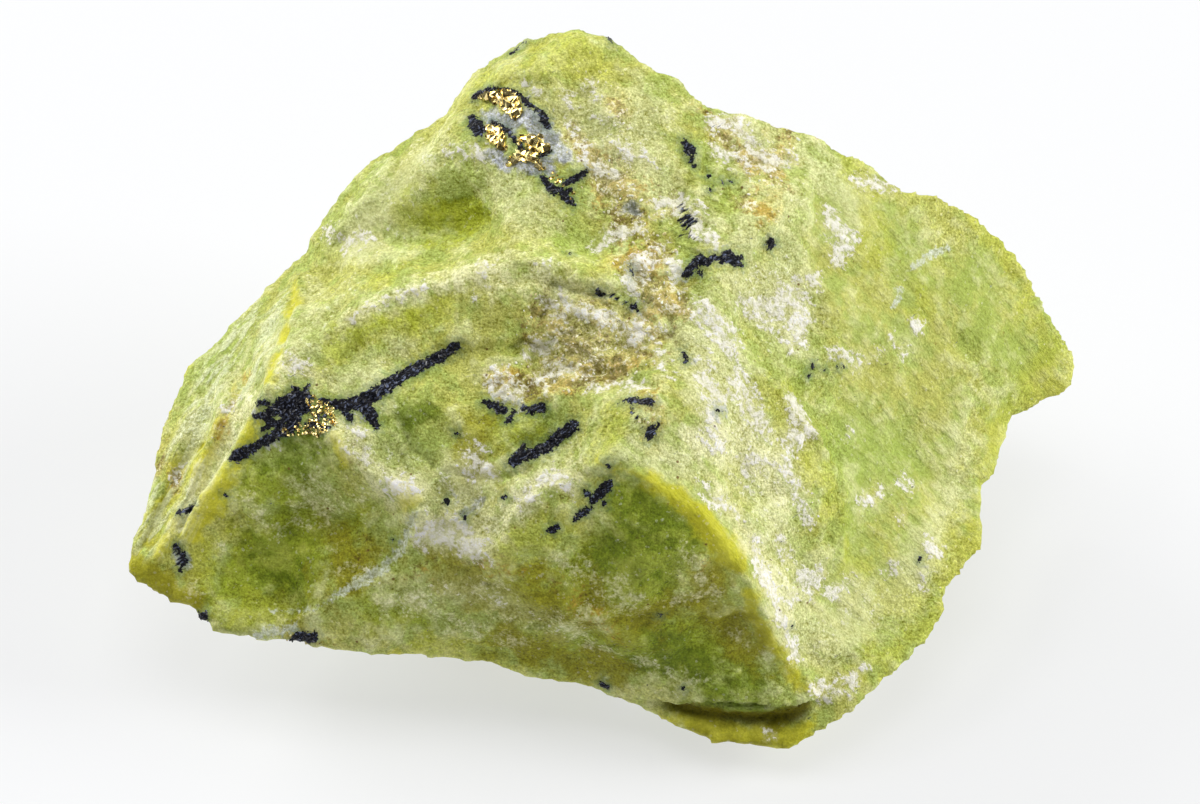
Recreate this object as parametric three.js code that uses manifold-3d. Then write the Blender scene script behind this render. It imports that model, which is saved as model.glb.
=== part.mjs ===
/**
 * Serpentine rock: a broken hand specimen of waxy yellow-green serpentine, formed as one piece.
 *
 * Frame: millimetres, +X to the right, +Y to the back, +Z up.  The origin is the point of the
 * small flat resting spot that lies right under the centre of mass.
 *
 * The stone is two skins that meet along one rim.  The upper skin carries the broken faces of the
 * top and front with their crests, ledges and hollows; the lower skin is the back and underside.
 * Both are drawn as a few named lines.  The faces between the lines are filled, divided, rounded
 * at the crests, roughened by the relief of the fracture and cut flat where the stone rests.
 */
import * as THREE from 'three';
import { ImprovedNoise } from 'three/addons/math/ImprovedNoise.js';
import { mergeVertices } from 'three/addons/utils/BufferGeometryUtils.js';
import Module from 'manifold-3d';

// Driving dimensions, in millimetres and degrees.
const LENGTH = 72; // left tip to right tip
const SKIN_TILT = 48; // rise of the line of sight along which each skin never folds over itself
const LINE_STEP = 1.6; // longest stretch between two corners of a drawn line
const LINE_GAP = 0.3; // corners of drawn lines that lie closer than this are one
const FACE_STEP = 2.3; // spacing of the corners on the faces between the lines
const FACE_GAP = 1.3; // closest that a corner on a face may lie to another
const UPPER_EDGE = 1.9; // longest triangle edge on the broken faces
const LOWER_EDGE = 3.4; // longest triangle edge on the underside and back
const WEAR = 0.5; // share of the way to its neighbours' middle that a corner off the lines moves
const RIM_SHELTER = 4; // width of the band beside the rim in which the relief fades out
const RELIEF = [
  { size: 10, depth: 0.9 }, // swells and dishes of a broken face
  { size: 4.4, depth: 0.5 }, // shallow conchoidal chips
  { size: 2, depth: 0.25 }, // coarse grain
];
const FLOOR_BLOCK = 200; // side of the block that cuts the resting spot
const STONE_COLOUR = 0xb1bb5e;

// Where the two skins meet, clockwise from the top of the crown as seen from above the front.
const rim = [
  [-1.4, 20.8, 38.2], [0.9, 19.9, 38.1], [3.7, 17.8, 37.2], [5.7, 17.2, 36.5], [7.8, 15.4, 35.6],
  [10.8, 15.6, 34.6], [14.2, 15.5, 33.2], [17.2, 15.3, 31.6], [20.1, 14.6, 30], [22.7, 13.5, 28.6],
  [25.2, 14.2, 27.4], [27.5, 14.2, 25.8], [30.3, 13.8, 23.2], [32.2, 13, 20.8], [33.9, 11.5, 17.8],
  [35.8, 10.4, 15], [36.3, 9.5, 13.6], [35.6, 7.6, 12.6], [33.2, 6.7, 12.3], [31.3, 5.5, 12],
  [30.4, 3.2, 11.5], [30.1, 1.2, 11], [28.8, -0.4, 10.8], [28.8, -2, 10.3], [29, -4.4, 9.6],
  [28.2, -6.1, 9.2], [26, -8.3, 8.7], [25.8, -10.1, 8.2], [24.9, -12, 7.6], [22.4, -14.3, 6.8],
  [19.7, -16.7, 5.8], [17.7, -18.2, 4.9], [15.5, -19.3, 4], [13.6, -19.7, 3.4], [11.3, -19.4, 3.4],
  [8.9, -19.2, 3.6], [6.7, -18.4, 4], [4.6, -17.2, 4.4], [3, -16.7, 4.9], [0, -15.8, 5.5],
  [-3, -15.5, 6.1], [-5.2, -15.2, 6.6], [-8.2, -14.6, 7.2], [-11.2, -14.4, 7.8], [-13.7, -14.5, 8.3],
  [-16.3, -14.9, 8.6], [-18.9, -14.7, 9], [-21.5, -14.4, 9.3], [-24.5, -14.2, 9.7], [-27.6, -14, 10],
  [-29.4, -13.4, 10.3], [-30.3, -12.2, 10.7], [-31.9, -11.7, 11], [-33.6, -10.9, 11.5],
  [-34.9, -10.3, 12], [-35.2, -9.5, 12.4], [-34.8, -7.5, 13], [-33.8, -5.5, 14.2],
  [-33.3, -3.5, 15.2], [-33.2, -1.4, 16], [-32.6, 0.7, 16.8], [-32.1, 2.4, 17.6], [-31.2, 4.2, 18.5],
  [-29.9, 5.3, 19.4], [-27.1, 7.4, 21.2], [-23.9, 10.1, 23.1], [-22.1, 11.4, 24.2],
  [-21.8, 12.1, 24.8], [-19.4, 14.9, 27], [-17.3, 16.7, 28.4], [-14.9, 18, 29.7],
  [-11.6, 18.7, 31.3], [-10.7, 19.8, 32.2], [-9.6, 21, 33.2], [-8.3, 21.4, 34.4], [-6.4, 21.7, 35.5],
  [-4.1, 21.5, 37],
];

const upperLines = {
  // The crown, its brow and shoulder, and the faces that fall away from it.
  crownBrow: [
    [-10.3, 17.6, 33.8], [-8.2, 17.4, 35.6], [-6.7, 18, 36.9], [-5.2, 18.6, 37.8], [-3, 18.9, 38.4],
    [-1.1, 19.2, 38.6],
  ],
  farLedge: [
    [-11.6, 18.7, 31.3], [-12.4, 16.2, 31.6], [-14.6, 13.8, 30.4], [-17.2, 11.9, 29],
    [-19.8, 10.5, 27.3], [-22.1, 11.4, 24.2],
  ],
  shoulder: [[-10.3, 17.6, 33.8], [-10.4, 16.3, 33.6], [-11.3, 14.4, 32.9], [-13, 12.6, 31.6]],
  crown: [
    [-3, 18.9, 38.4], [-3.7, 16.8, 37.6], [-4.8, 15.3, 36.5], [-5.9, 13.1, 35], [-4.8, 9.6, 33.8],
  ],
  crownFace: [[0, 14.5, 36.2], [3.7, 11.6, 34.9], [7.4, 9.6, 33.8], [11.9, 11.7, 33.3]],
  saddle: [[-5.9, 7.2, 32.6], [-2.9, 6.1, 31.1], [-0.7, 4.9, 31.3]],
  // The bow of the crest that runs across the stone, with the dished face behind it.
  bow: [
    [-22.9, -0.5, 26.1], [-20.6, 0.4, 26.8], [-18.8, 1.4, 27.5], [-15.6, 2.8, 28.7],
    [-12.1, 2.9, 29.7], [-8.3, 3.3, 30.9], [-5.9, 3.4, 31.3], [-3.8, 3.1, 31.5], [-1.5, 2.6, 31.3],
    [0.9, 1.7, 31],
  ],
  dell: [[-16, 8.7, 28], [-12.7, 9.1, 28.6], [-9.7, 9.1, 29.4]],
  dellHead: [[-14.9, 11, 29.9], [-12.6, 11.4, 30.9], [-9.6, 11.2, 32]],
  leftSlope: [[-20.1, 7.3, 26], [-20, 4, 26.3]],
  splitTop: [[-22.7, 7.8, 25.1], [-22.9, 4.3, 25.4], [-23, 1.3, 25.6]],
  splitFoot: [[-23.3, 8.4, 24.2], [-23.5, 5.3, 24.4], [-23.7, 2.4, 24.4]],
  // The slabs that step down to the left tip, each with the groove beside it.
  leftEdge: [
    [-22.9, -0.5, 26.1], [-23.9, -2.1, 25], [-25.3, -3.7, 23], [-27.1, -5.4, 20],
    [-28.7, -6.5, 18.1], [-29.8, -7.6, 16.5], [-30.8, -8.7, 15],
  ],
  slabGroove: [
    [-25.9, -0.3, 22.2], [-27.3, -2.3, 20.6], [-28.6, -4, 18.6], [-29.5, -5.4, 17.3],
    [-30.6, -6.8, 15.6], [-31.7, -8.8, 13.9],
  ],
  slabCrest: [
    [-26.9, -0.3, 21.7], [-28.2, -2.4, 20.7], [-29.3, -4.4, 19], [-30.2, -5.6, 17.6],
    [-31.2, -7.3, 16.1], [-32.2, -8.9, 14.6], [-32.9, -9.9, 13.7],
  ],
  outerGroove: [
    [-29.4, -0.8, 18.9], [-30.5, -2.9, 17.3], [-31.3, -4.3, 16.1], [-32.3, -6, 14.6],
    [-33.5, -8.3, 13.3],
  ],
  outerCrest: [
    [-30.4, -0.8, 18.9], [-31.3, -2.7, 17.7], [-32.1, -4.5, 16.3], [-33.1, -6.3, 15],
    [-34.1, -8.4, 13.7],
  ],
  slabEnd: [
    [-34.1, -8.9, 13.4], [-32.9, -9.9, 13.7], [-32.1, -10.4, 12.9], [-30.8, -11.3, 12.1],
    [-29.8, -12, 11.3],
  ],
  // The bowl of the left front, under its brow.
  knuckleFoot: [[-27.1, -5.4, 20], [-23.9, -5.1, 22.2], [-20.2, -5.3, 23.4]],
  lowBrow: [
    [-22.9, -0.5, 26.1], [-21.4, -3.7, 24.6], [-20.2, -5.3, 23.4], [-18.5, -7, 22.8],
    [-16.8, -8.8, 21.8], [-15, -10, 20.9], [-13.4, -10.9, 20], [-14.2, -11.9, 17.6],
    [-15.3, -12.6, 16], [-17.3, -13.2, 14.8], [-20.3, -13.4, 13],
  ],
  bowlRim: [
    [-29.3, -11.6, 12], [-28.6, -12.2, 11.3], [-26.3, -13.1, 10.9], [-23.3, -13.6, 10.7],
    [-20.4, -13.5, 11.2],
  ],
  // The middle of the stone: a face, its trough and the rough pocket.
  midFacet: [[-19.8, -3.7, 24.5], [-14.7, -2.4, 25.9], [-10.4, -1, 27.4]],
  midFoot: [[-17.6, -6.5, 23.6], [-13.2, -5.2, 24.9], [-9.5, -4.7, 25.4]],
  trough: [[-9.5, -4.7, 25.4], [-8, -6.8, 23.4], [-9.5, -8.9, 21.3], [-11.6, -10.5, 19.6]],
  pocketTop: [[-2.9, 2.3, 30.3], [0, 1.3, 29.9], [2.9, 0.2, 29.8], [4.7, -1.7, 29.2]],
  pocketLip: [
    [-4.5, 1.9, 30.4], [-6.6, -0.5, 28.4], [-7.8, -2.6, 26.9], [-7.2, -4.5, 25.8], [-4, -5.2, 26.2],
    [0, -6.1, 27.4], [3.6, -5.6, 28.1],
  ],
  // The prow that falls to the front, the face to its left and the lip under that.
  prow: [
    [4.4, -5.7, 28.2], [2.9, -8.6, 27.6], [0.9, -10.7, 26.4], [2.9, -11.8, 25.2], [4.9, -12.3, 23.8],
    [7.3, -12.4, 22], [8.9, -13.2, 19.8], [10.4, -14, 17.4], [11.5, -14.9, 14.8],
    [12.7, -15.8, 12.2], [14, -16.6, 9.8], [15.7, -17.1, 7.8], [17.5, -17.4, 6],
  ],
  prowShoulder: [
    [0.9, -10.7, 26.4], [-0.7, -10.5, 25.2], [-2.9, -11.1, 23.4], [-5.1, -11.9, 21.2],
    [-7.3, -12.5, 19.3], [-9.9, -12.7, 17.9], [-12.5, -12.3, 16.8],
  ],
  prowSide: [[-1.8, -7.4, 25.7], [-4, -8.3, 24], [-6.2, -8.6, 22.8]],
  ledgeBrink: [
    [3.4, -16.8, 5.9], [6.4, -17.2, 6.2], [8.5, -17.7, 6.3], [10.6, -18, 6.3], [12.6, -18.3, 6.4],
    [15.4, -18.3, 6.7],
  ],
  ledgeFoot: [
    [3.9, -16.5, 4.9], [6.4, -16.6, 4.6], [8.5, -16.9, 4.4], [10.7, -17.1, 4.3], [12.7, -17.3, 4.4],
    [15.3, -17.5, 4.9],
  ],
  lipSide: [[16.7, -17.2, 6.4], [15.7, -18, 5.4], [14.6, -19.1, 4.3]],
  // The great right face, with the step along it.
  stepTop: [
    [12.3, -1.9, 25.4], [14.8, -3.2, 22.4], [16.3, -3.8, 20.9], [16.9, -4.6, 19.1],
    [18.1, -5.5, 17.2], [18.3, -6.1, 16.5], [17.9, -7, 15.6], [17.8, -8.2, 14.1], [17.9, -9.3, 12.6],
  ],
  stepFoot: [
    [13, -1, 24.6], [15.4, -2.1, 21.4], [16.9, -2.4, 19.6], [17.5, -3.6, 18.1], [18.7, -4.7, 16.4],
    [18.9, -5.4, 15.7], [18.5, -6.3, 14.8], [18.5, -7.5, 13.3], [18.6, -8.8, 11.9],
  ],
  bend: [[4.7, -4.1, 28.6], [7.3, 0.5, 30.6], [10.7, 5.4, 31.8], [14.1, 10, 32.3]],
};

// Single corners that swell or dish the faces between the lines.
const upperSpots = {
  bowl: [
    [-22.1, -7.2, 19.4], [-26.6, -8.8, 16.2], [-19.2, -9.3, 16.2], [-23.4, -9.8, 13.4],
    [-28.2, -10.5, 13], [-23.8, -11.3, 11.5],
  ],
  pocketFloor: [
    [-4, 1, 29], [-1.5, -0.8, 28.8], [1.5, -2, 28.4], [0.7, -4.1, 27.2], [-2.9, -2.9, 26.9],
    [-5.7, -1.4, 27.2],
  ],
  frontFace: [
    [2.9, -13.3, 22], [2.9, -14.8, 17], [7.3, -14.3, 16.4], [0, -15.8, 13.6], [5.9, -16, 10.4],
    [10.3, -16.5, 9.8], [-4.4, -15, 15],
  ],
  frontBelly: [[-11.8, -13.9, 13.6], [-7.4, -14.6, 11], [-14.8, -14.3, 11.2], [-2.2, -15.3, 9]],
  rightFace: [
    [8.7, -6.8, 25.6], [10.2, -10.2, 20.6], [14, -11, 14.8], [16.3, -13.4, 10.2], [22.5, 7.2, 23.4],
    [17.8, 3.2, 24.4], [27.2, 3.8, 16], [22.5, 0.1, 15.6], [22.5, -5.1, 12.4], [20.9, -10.2, 9.2],
    [27.1, 8.9, 21.6], [19.4, 9.5, 28.6], [31.9, 8.6, 16.4],
  ],
};

const lowerLines = {
  // The ridges of the back, with a ledge across its left face and a chip in its right one.
  spine: [[-1.4, 22.5, 35], [0.5, 26, 28], [2.5, 27.5, 20], [4, 24, 11], [4.5, 16, 3.5]],
  backRight: [[21, 16, 25], [20.5, 19, 17], [18, 17, 9], [14, 11, 2.5]],
  backLeft: [[-21, 14, 20], [-20.5, 15.5, 13], [-17, 12.5, 6.5], [-14, 8.5, 2]],
  backLedge: [[-16, 18.2, 22], [-11, 21.5, 21.5], [-6, 24.5, 22.5], [-1.5, 26.2, 24.5]],
  backLedgeFoot: [[-16, 17, 21.2], [-11, 20.2, 20.4], [-6, 23.2, 21.2], [-1.5, 25.2, 23]],
  backChip: [[9, 23.5, 22], [13, 20.5, 17], [11, 20, 12]],
  backChipRim: [[6, 26, 21], [9, 25, 15.5], [14, 21, 10.5]],
  // The undersides of the two wings and of the front.
  rightWing: [[31, 16, 15], [32, 11, 8.5], [26, 7, 5.5], [19, 4, 1.5]],
  leftWing: [[-31, -4.5, 10], [-26, -1, 8], [-20, 0, 4.5], [-15.5, 1, 1]],
  frontUnder: [[-20, -10, 6.5], [-15, -7, 3]],
  keelUnder: [[25, -4, 5.5], [20, -12, 3.5]],
  // The small flat the stone rests on, drawn just below the height at which it is cut.
  restingSpot: [
    [-13, 0, -1], [-5, -5.5, -1], [5, -10.5, -1], [12, -11.5, -1], [16, -5, -1], [14, 5, -1],
    [5, 11.5, -1], [-5, 10.5, -1], [-12, 5, -1], [-13, 0, -1],
  ],
};

/** The place of a point on the plane that faces the skins' line of sight. */
function onSheet(point) {
  const tilt = THREE.MathUtils.degToRad(SKIN_TILT);
  return new THREE.Vector2(point.x, point.y * Math.sin(tilt) + point.z * Math.cos(tilt));
}

/** Points along a line of corners, no more than LINE_STEP apart. */
function walk(corners) {
  const points = [new THREE.Vector3(...corners[0])];
  for (let i = 1; i < corners.length; i++) {
    const from = new THREE.Vector3(...corners[i - 1]);
    const to = new THREE.Vector3(...corners[i]);
    const steps = Math.ceil(from.distanceTo(to) / LINE_STEP);
    for (let step = 1; step <= steps; step++) points.push(from.clone().lerp(to, step / steps));
  }
  return points;
}

/** A triangle of three numbered flat points, with the circle through them. */
function circled(flat, a, b, c) {
  const side = flat[b].clone().sub(flat[a]);
  const other = flat[c].clone().sub(flat[a]);
  const twist = 2 * side.cross(other);
  const x = (other.y * side.lengthSq() - side.y * other.lengthSq()) / twist;
  const y = (side.x * other.lengthSq() - other.x * side.lengthSq()) / twist;
  const centre = new THREE.Vector2(x, y);
  return { corners: [a, b, c], centre: centre.clone().add(flat[a]), radius: centre.length() };
}

/** Delaunay triangles of flat points, each counterclockwise, as triples of point numbers. */
function triangulate(points) {
  const far = 1e4;
  const surround = [[-far, -far], [far, -far], [0, far]].map(([x, y]) => new THREE.Vector2(x, y));
  const flat = [...points, ...surround];
  const count = points.length;
  let triangles = [circled(flat, count, count + 1, count + 2)];
  for (let i = 0; i < count; i++) {
    const hull = new Map();
    const kept = [];
    for (const triangle of triangles) {
      if (triangle.centre.distanceTo(flat[i]) >= triangle.radius) {
        kept.push(triangle);
        continue;
      }
      const [a, b, c] = triangle.corners;
      for (const [from, to] of [[a, b], [b, c], [c, a]]) {
        if (!hull.delete(`${to} ${from}`)) hull.set(`${from} ${to}`, [from, to]);
      }
    }
    for (const [from, to] of hull.values()) kept.push(circled(flat, from, to, i));
    triangles = kept;
  }
  return triangles.map((triangle) => triangle.corners).filter((corners) => Math.max(...corners) < count);
}

/** Whether a flat point lies inside a closed outline. */
function inside(outline, point) {
  let within = false;
  outline.forEach((to, i) => {
    const from = outline.at(i - 1);
    const isAcross = from.y > point.y !== to.y > point.y;
    const crossing = from.x + ((to.x - from.x) * (point.y - from.y)) / (to.y - from.y);
    if (isAcross && point.x < crossing) within = !within;
  });
  return within;
}

/** The three shares in which a flat point is mixed from the corners of a flat triangle. */
function sharesOf(point, [a, b, c]) {
  const whole = b.clone().sub(a).cross(c.clone().sub(a));
  const second = point.clone().sub(a).cross(c.clone().sub(a)) / whole;
  const third = b.clone().sub(a).cross(point.clone().sub(a)) / whole;
  return [1 - second - third, second, third];
}

/**
 * The skin that fills the rim and passes through the paths, as triples of numbers into points.
 * Its new points are added to points, and the numbers of the drawn ones to held.
 */
function skin(points, rimCount, paths, held) {
  const flat = points.slice(0, rimCount).map(onSheet);
  const outline = [...flat];
  const numbers = outline.map((_, i) => i);
  const add = (point) => {
    numbers.push(points.push(point) - 1);
    return flat.push(onSheet(point)) - 1;
  };
  const nearest = (place, gap) => flat.findIndex((other) => other.distanceTo(place) < gap);
  const isFilled = ([a, b, c]) => {
    return inside(outline, flat[a].clone().add(flat[b]).add(flat[c]).divideScalar(3));
  };

  // The paths, each stretch halved until it is a side of some triangle.
  let stretches = paths.flatMap((path) => {
    const corners = walk(path).map((point) => {
      const near = nearest(onSheet(point), LINE_GAP);
      return near < 0 ? add(point) : near;
    });
    return corners.slice(1).map((corner, i) => [corners[i], corner]);
  });
  let drawn = [];
  while (stretches.length > 0) {
    drawn = triangulate(flat);
    const sides = new Set(drawn.flatMap(([a, b, c]) => [`${a} ${b}`, `${b} ${c}`, `${c} ${a}`]));
    const isMissing = ([a, b]) => {
      const isSide = sides.has(`${a} ${b}`) || sides.has(`${b} ${a}`);
      return !isSide && flat[a].distanceTo(flat[b]) > 2 * LINE_GAP;
    };
    stretches = stretches.filter(isMissing).flatMap(([a, b]) => {
      const middle = add(points[numbers[a]].clone().lerp(points[numbers[b]], 0.5));
      return [[a, middle], [middle, b]];
    });
  }
  for (const number of numbers) held.add(number);

  // The faces between them, on a grid of rows.
  const panels = drawn.filter(isFilled);
  const sheet = new THREE.Box2().setFromPoints(outline);
  const rowStep = FACE_STEP * Math.sqrt(0.75);
  for (let row = 0; sheet.min.y + row * rowStep < sheet.max.y; row++) {
    const start = sheet.min.x + (row % 2) * FACE_STEP * 0.5;
    for (let x = start; x < sheet.max.x; x += FACE_STEP) {
      const place = new THREE.Vector2(x, sheet.min.y + row * rowStep);
      if (nearest(place, FACE_GAP) >= 0) continue;
      for (const corners of panels) {
        const shares = sharesOf(place, corners.map((corner) => flat[corner]));
        if (Math.min(...shares) < 0) continue;
        const point = new THREE.Vector3();
        corners.forEach((corner, i) => point.addScaledVector(points[numbers[corner]], shares[i]));
        add(point);
        break;
      }
    }
  }
  return triangulate(flat).filter(isFilled).map((corners) => corners.map((corner) => numbers[corner]));
}

/**
 * Divides every triangle edge that is longer than its skin allows, until none is.
 * The middle of an edge between two held points is held too.
 */
function divide(points, faces, held) {
  let before = 0;
  while (before !== faces.length) {
    before = faces.length;
    const middles = new Map();
    const middleOf = (a, b, limit) => {
      const key = `${Math.min(a, b)} ${Math.max(a, b)}`;
      if (middles.has(key)) return middles.get(key);
      const isLong = points[a].distanceTo(points[b]) > limit;
      const middle = isLong ? points.push(points[a].clone().lerp(points[b], 0.5)) - 1 : null;
      if (isLong && held.has(a) && held.has(b)) held.add(middle);
      middles.set(key, middle);
      return middle;
    };
    faces = faces.flatMap(({ corners: [a, b, c], limit }) => {
      const ab = middleOf(a, b, limit);
      const bc = middleOf(b, c, limit);
      const ca = middleOf(c, a, limit);
      const ring = [a, ab, b, bc, c, ca].filter((corner) => corner !== null);
      if (ring.length === 3) return [{ corners: ring, limit }];
      while (ring[0] !== (ab ?? bc ?? ca)) ring.push(ring.shift());
      const fan = ring.slice(2).map((corner, i) => [ring[0], ring[i + 1], corner]);
      const quarters = [[a, ab, ca], [ab, b, bc], [ca, bc, c], [ab, bc, ca]];
      return (ring.length === 6 ? quarters : fan).map((corners) => ({ corners, limit }));
    });
  }
  return faces;
}

/** Moves every point that isn't held towards the middle of its neighbours by a share of the way. */
function relax(points, faces, held, share) {
  const neighbours = points.map(() => new Set());
  for (const { corners: [a, b, c] } of faces) {
    neighbours[a].add(b).add(c);
    neighbours[b].add(c).add(a);
    neighbours[c].add(a).add(b);
  }
  const middles = neighbours.map((near) => {
    const middle = new THREE.Vector3();
    for (const i of near) middle.add(points[i]);
    return middle.divideScalar(near.size);
  });
  points.forEach((point, i) => {
    if (!held.has(i)) point.lerp(middles[i], share);
  });
}

/** Pushes every point of a closed geometry along its normal by the relief of the fracture. */
function roughen(geometry, drawnRim) {
  const noise = new ImprovedNoise();
  geometry.computeVertexNormals();
  const { position, normal } = geometry.attributes;
  for (let i = 0; i < position.count; i++) {
    const point = new THREE.Vector3().fromBufferAttribute(position, i);
    const outwards = new THREE.Vector3().fromBufferAttribute(normal, i);
    let height = 0;
    for (const { size, depth } of RELIEF) {
      height += depth * noise.noise(point.x / size, point.y / size, point.z / size);
    }
    const fromRim = Math.min(...drawnRim.map((corner) => corner.distanceTo(point)));
    point.addScaledVector(outwards, height * Math.min(1, fromRim / RIM_SHELTER));
    position.setXYZ(i, point.x, point.y, point.z);
  }
}

/** The closed body of the whole stone before it is cut to rest. */
function rawStone() {
  const points = walk([...rim, rim[0]]).slice(0, -1);
  const rimCount = points.length;
  const drawnRim = points.map((point) => point.clone());
  const held = new Set(points.keys());
  const spots = Object.values(upperSpots).flat().map((spot) => [spot]);
  const upperPaths = [...Object.values(upperLines), ...spots];
  const upper = skin(points, rimCount, upperPaths, held).map((corners) => {
    return { corners, limit: UPPER_EDGE };
  });
  const lower = skin(points, rimCount, Object.values(lowerLines), held).map(([a, b, c]) => {
    return { corners: [a, c, b], limit: LOWER_EDGE };
  });
  const faces = divide(points, [...upper, ...lower], held);
  relax(points, faces, held, WEAR);
  const geometry = new THREE.BufferGeometry().setFromPoints(points);
  geometry.setIndex(faces.flatMap(({ corners }) => corners));
  roughen(geometry, drawnRim);
  return geometry;
}

/** A closed geometry as a solid that can be cut. */
function solidOf(wasm, geometry) {
  const bare = geometry.clone();
  bare.deleteAttribute('normal');
  bare.deleteAttribute('uv');
  const merged = mergeVertices(bare);
  const vertProperties = new Float32Array(merged.attributes.position.array);
  const triVerts = new Uint32Array(merged.index.array);
  return new wasm.Manifold(new wasm.Mesh({ numProp: 3, vertProperties, triVerts }));
}

/** The stone cut flat at the height where it rests. */
function cutToRest(wasm, geometry) {
  const block = new THREE.BoxGeometry(FLOOR_BLOCK, FLOOR_BLOCK, FLOOR_BLOCK);
  block.translate(0, 0, -FLOOR_BLOCK / 2);
  const { vertProperties, triVerts } = solidOf(wasm, geometry).subtract(solidOf(wasm, block)).getMesh();
  const cut = new THREE.BufferGeometry();
  cut.setAttribute('position', new THREE.BufferAttribute(new Float32Array(vertProperties), 3));
  cut.setIndex([...triVerts]);
  return cut;
}

/** The centre of mass of a closed geometry of even density. */
function centreOfMass(geometry) {
  const { array } = geometry.toNonIndexed().attributes.position;
  const sum = new THREE.Vector3();
  let volume = 0;
  for (let i = 0; i < array.length; i += 9) {
    const [a, b, c] = [0, 3, 6].map((corner) => new THREE.Vector3().fromArray(array, i + corner));
    const wedge = a.dot(b.clone().cross(c)) / 6;
    sum.addScaledVector(a.add(b).add(c).divideScalar(4), wedge);
    volume += wedge;
  }
  return sum.divideScalar(volume);
}

/** The finished stone, with its origin on the resting spot right under the centre of mass. */
function serpentineRock(wasm) {
  const raw = rawStone();
  raw.computeBoundingBox();
  const scale = LENGTH / (raw.boundingBox.max.x - raw.boundingBox.min.x);
  const geometry = cutToRest(wasm, raw.scale(scale, scale, scale));
  const centre = centreOfMass(geometry);
  geometry.translate(-centre.x, -centre.y, 0);
  geometry.computeVertexNormals();
  const stone = new THREE.MeshStandardMaterial({ color: STONE_COLOUR, roughness: 0.55, metalness: 0 });
  const mesh = new THREE.Mesh(geometry, stone);
  mesh.name = 'serpentine_rock';
  return mesh;
}

const wasm = await Module();
wasm.setup();
const rock = new THREE.Group();
rock.add(serpentineRock(wasm));

export default rock;
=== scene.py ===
"""Serpentine rock: the weathered skin, the grown-in minerals and the setting of one broken stone.

The stone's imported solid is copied, given a fine and even skin, and worn and roughened. Each mineral
is laid on that skin as a few strokes along lines of sight, and the distance to its strokes is kept
on the skin, so the materials can break its edge up into grains.
"""

import math

import bmesh
import bpy
import numpy as np
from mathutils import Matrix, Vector, noise
from mathutils.bvhtree import BVHTree


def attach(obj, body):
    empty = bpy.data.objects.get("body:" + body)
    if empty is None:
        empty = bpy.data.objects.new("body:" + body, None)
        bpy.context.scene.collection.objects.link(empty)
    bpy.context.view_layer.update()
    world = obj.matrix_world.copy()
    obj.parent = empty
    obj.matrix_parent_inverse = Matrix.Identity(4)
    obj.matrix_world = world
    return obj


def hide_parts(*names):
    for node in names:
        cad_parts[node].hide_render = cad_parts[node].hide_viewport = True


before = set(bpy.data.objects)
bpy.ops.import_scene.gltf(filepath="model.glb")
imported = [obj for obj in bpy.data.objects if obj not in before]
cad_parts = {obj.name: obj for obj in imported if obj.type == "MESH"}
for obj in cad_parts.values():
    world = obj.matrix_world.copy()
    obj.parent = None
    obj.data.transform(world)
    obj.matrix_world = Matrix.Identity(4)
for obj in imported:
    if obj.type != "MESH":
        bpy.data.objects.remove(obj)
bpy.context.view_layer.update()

MM = 0.001  # metres

# The view: a long lens that looks down on the front of the stone.
FRAME_WIDTH, FRAME_HEIGHT = 1200, 804  # pixels
VIEW_RISE = math.radians(48)
VIEW_TARGET = Vector((-0.78, 1.12, 14.1)) * MM
VIEW_DISTANCE = 407.8 * MM
SENSOR_WIDTH = 36.0  # millimetres, as Blender takes it
LENS = 159.9
PIXEL = VIEW_DISTANCE * SENSOR_WIDTH / LENS / FRAME_WIDTH  # metres on the stone

# The skin.
SKIN_STEP = 0.41 * MM  # spacing of the skin's corners
FINE_BAND = 0.5  # millimetres beside a fine mark or a crest within which the skin is twice as fine
WEAR_ROUNDS = 3  # passes that round the facets and crests
CREST_REACH = 40  # passes of the smoothing that a crest is told from
FAR = 6.0  # millimetres: no mark is felt beyond this

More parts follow.
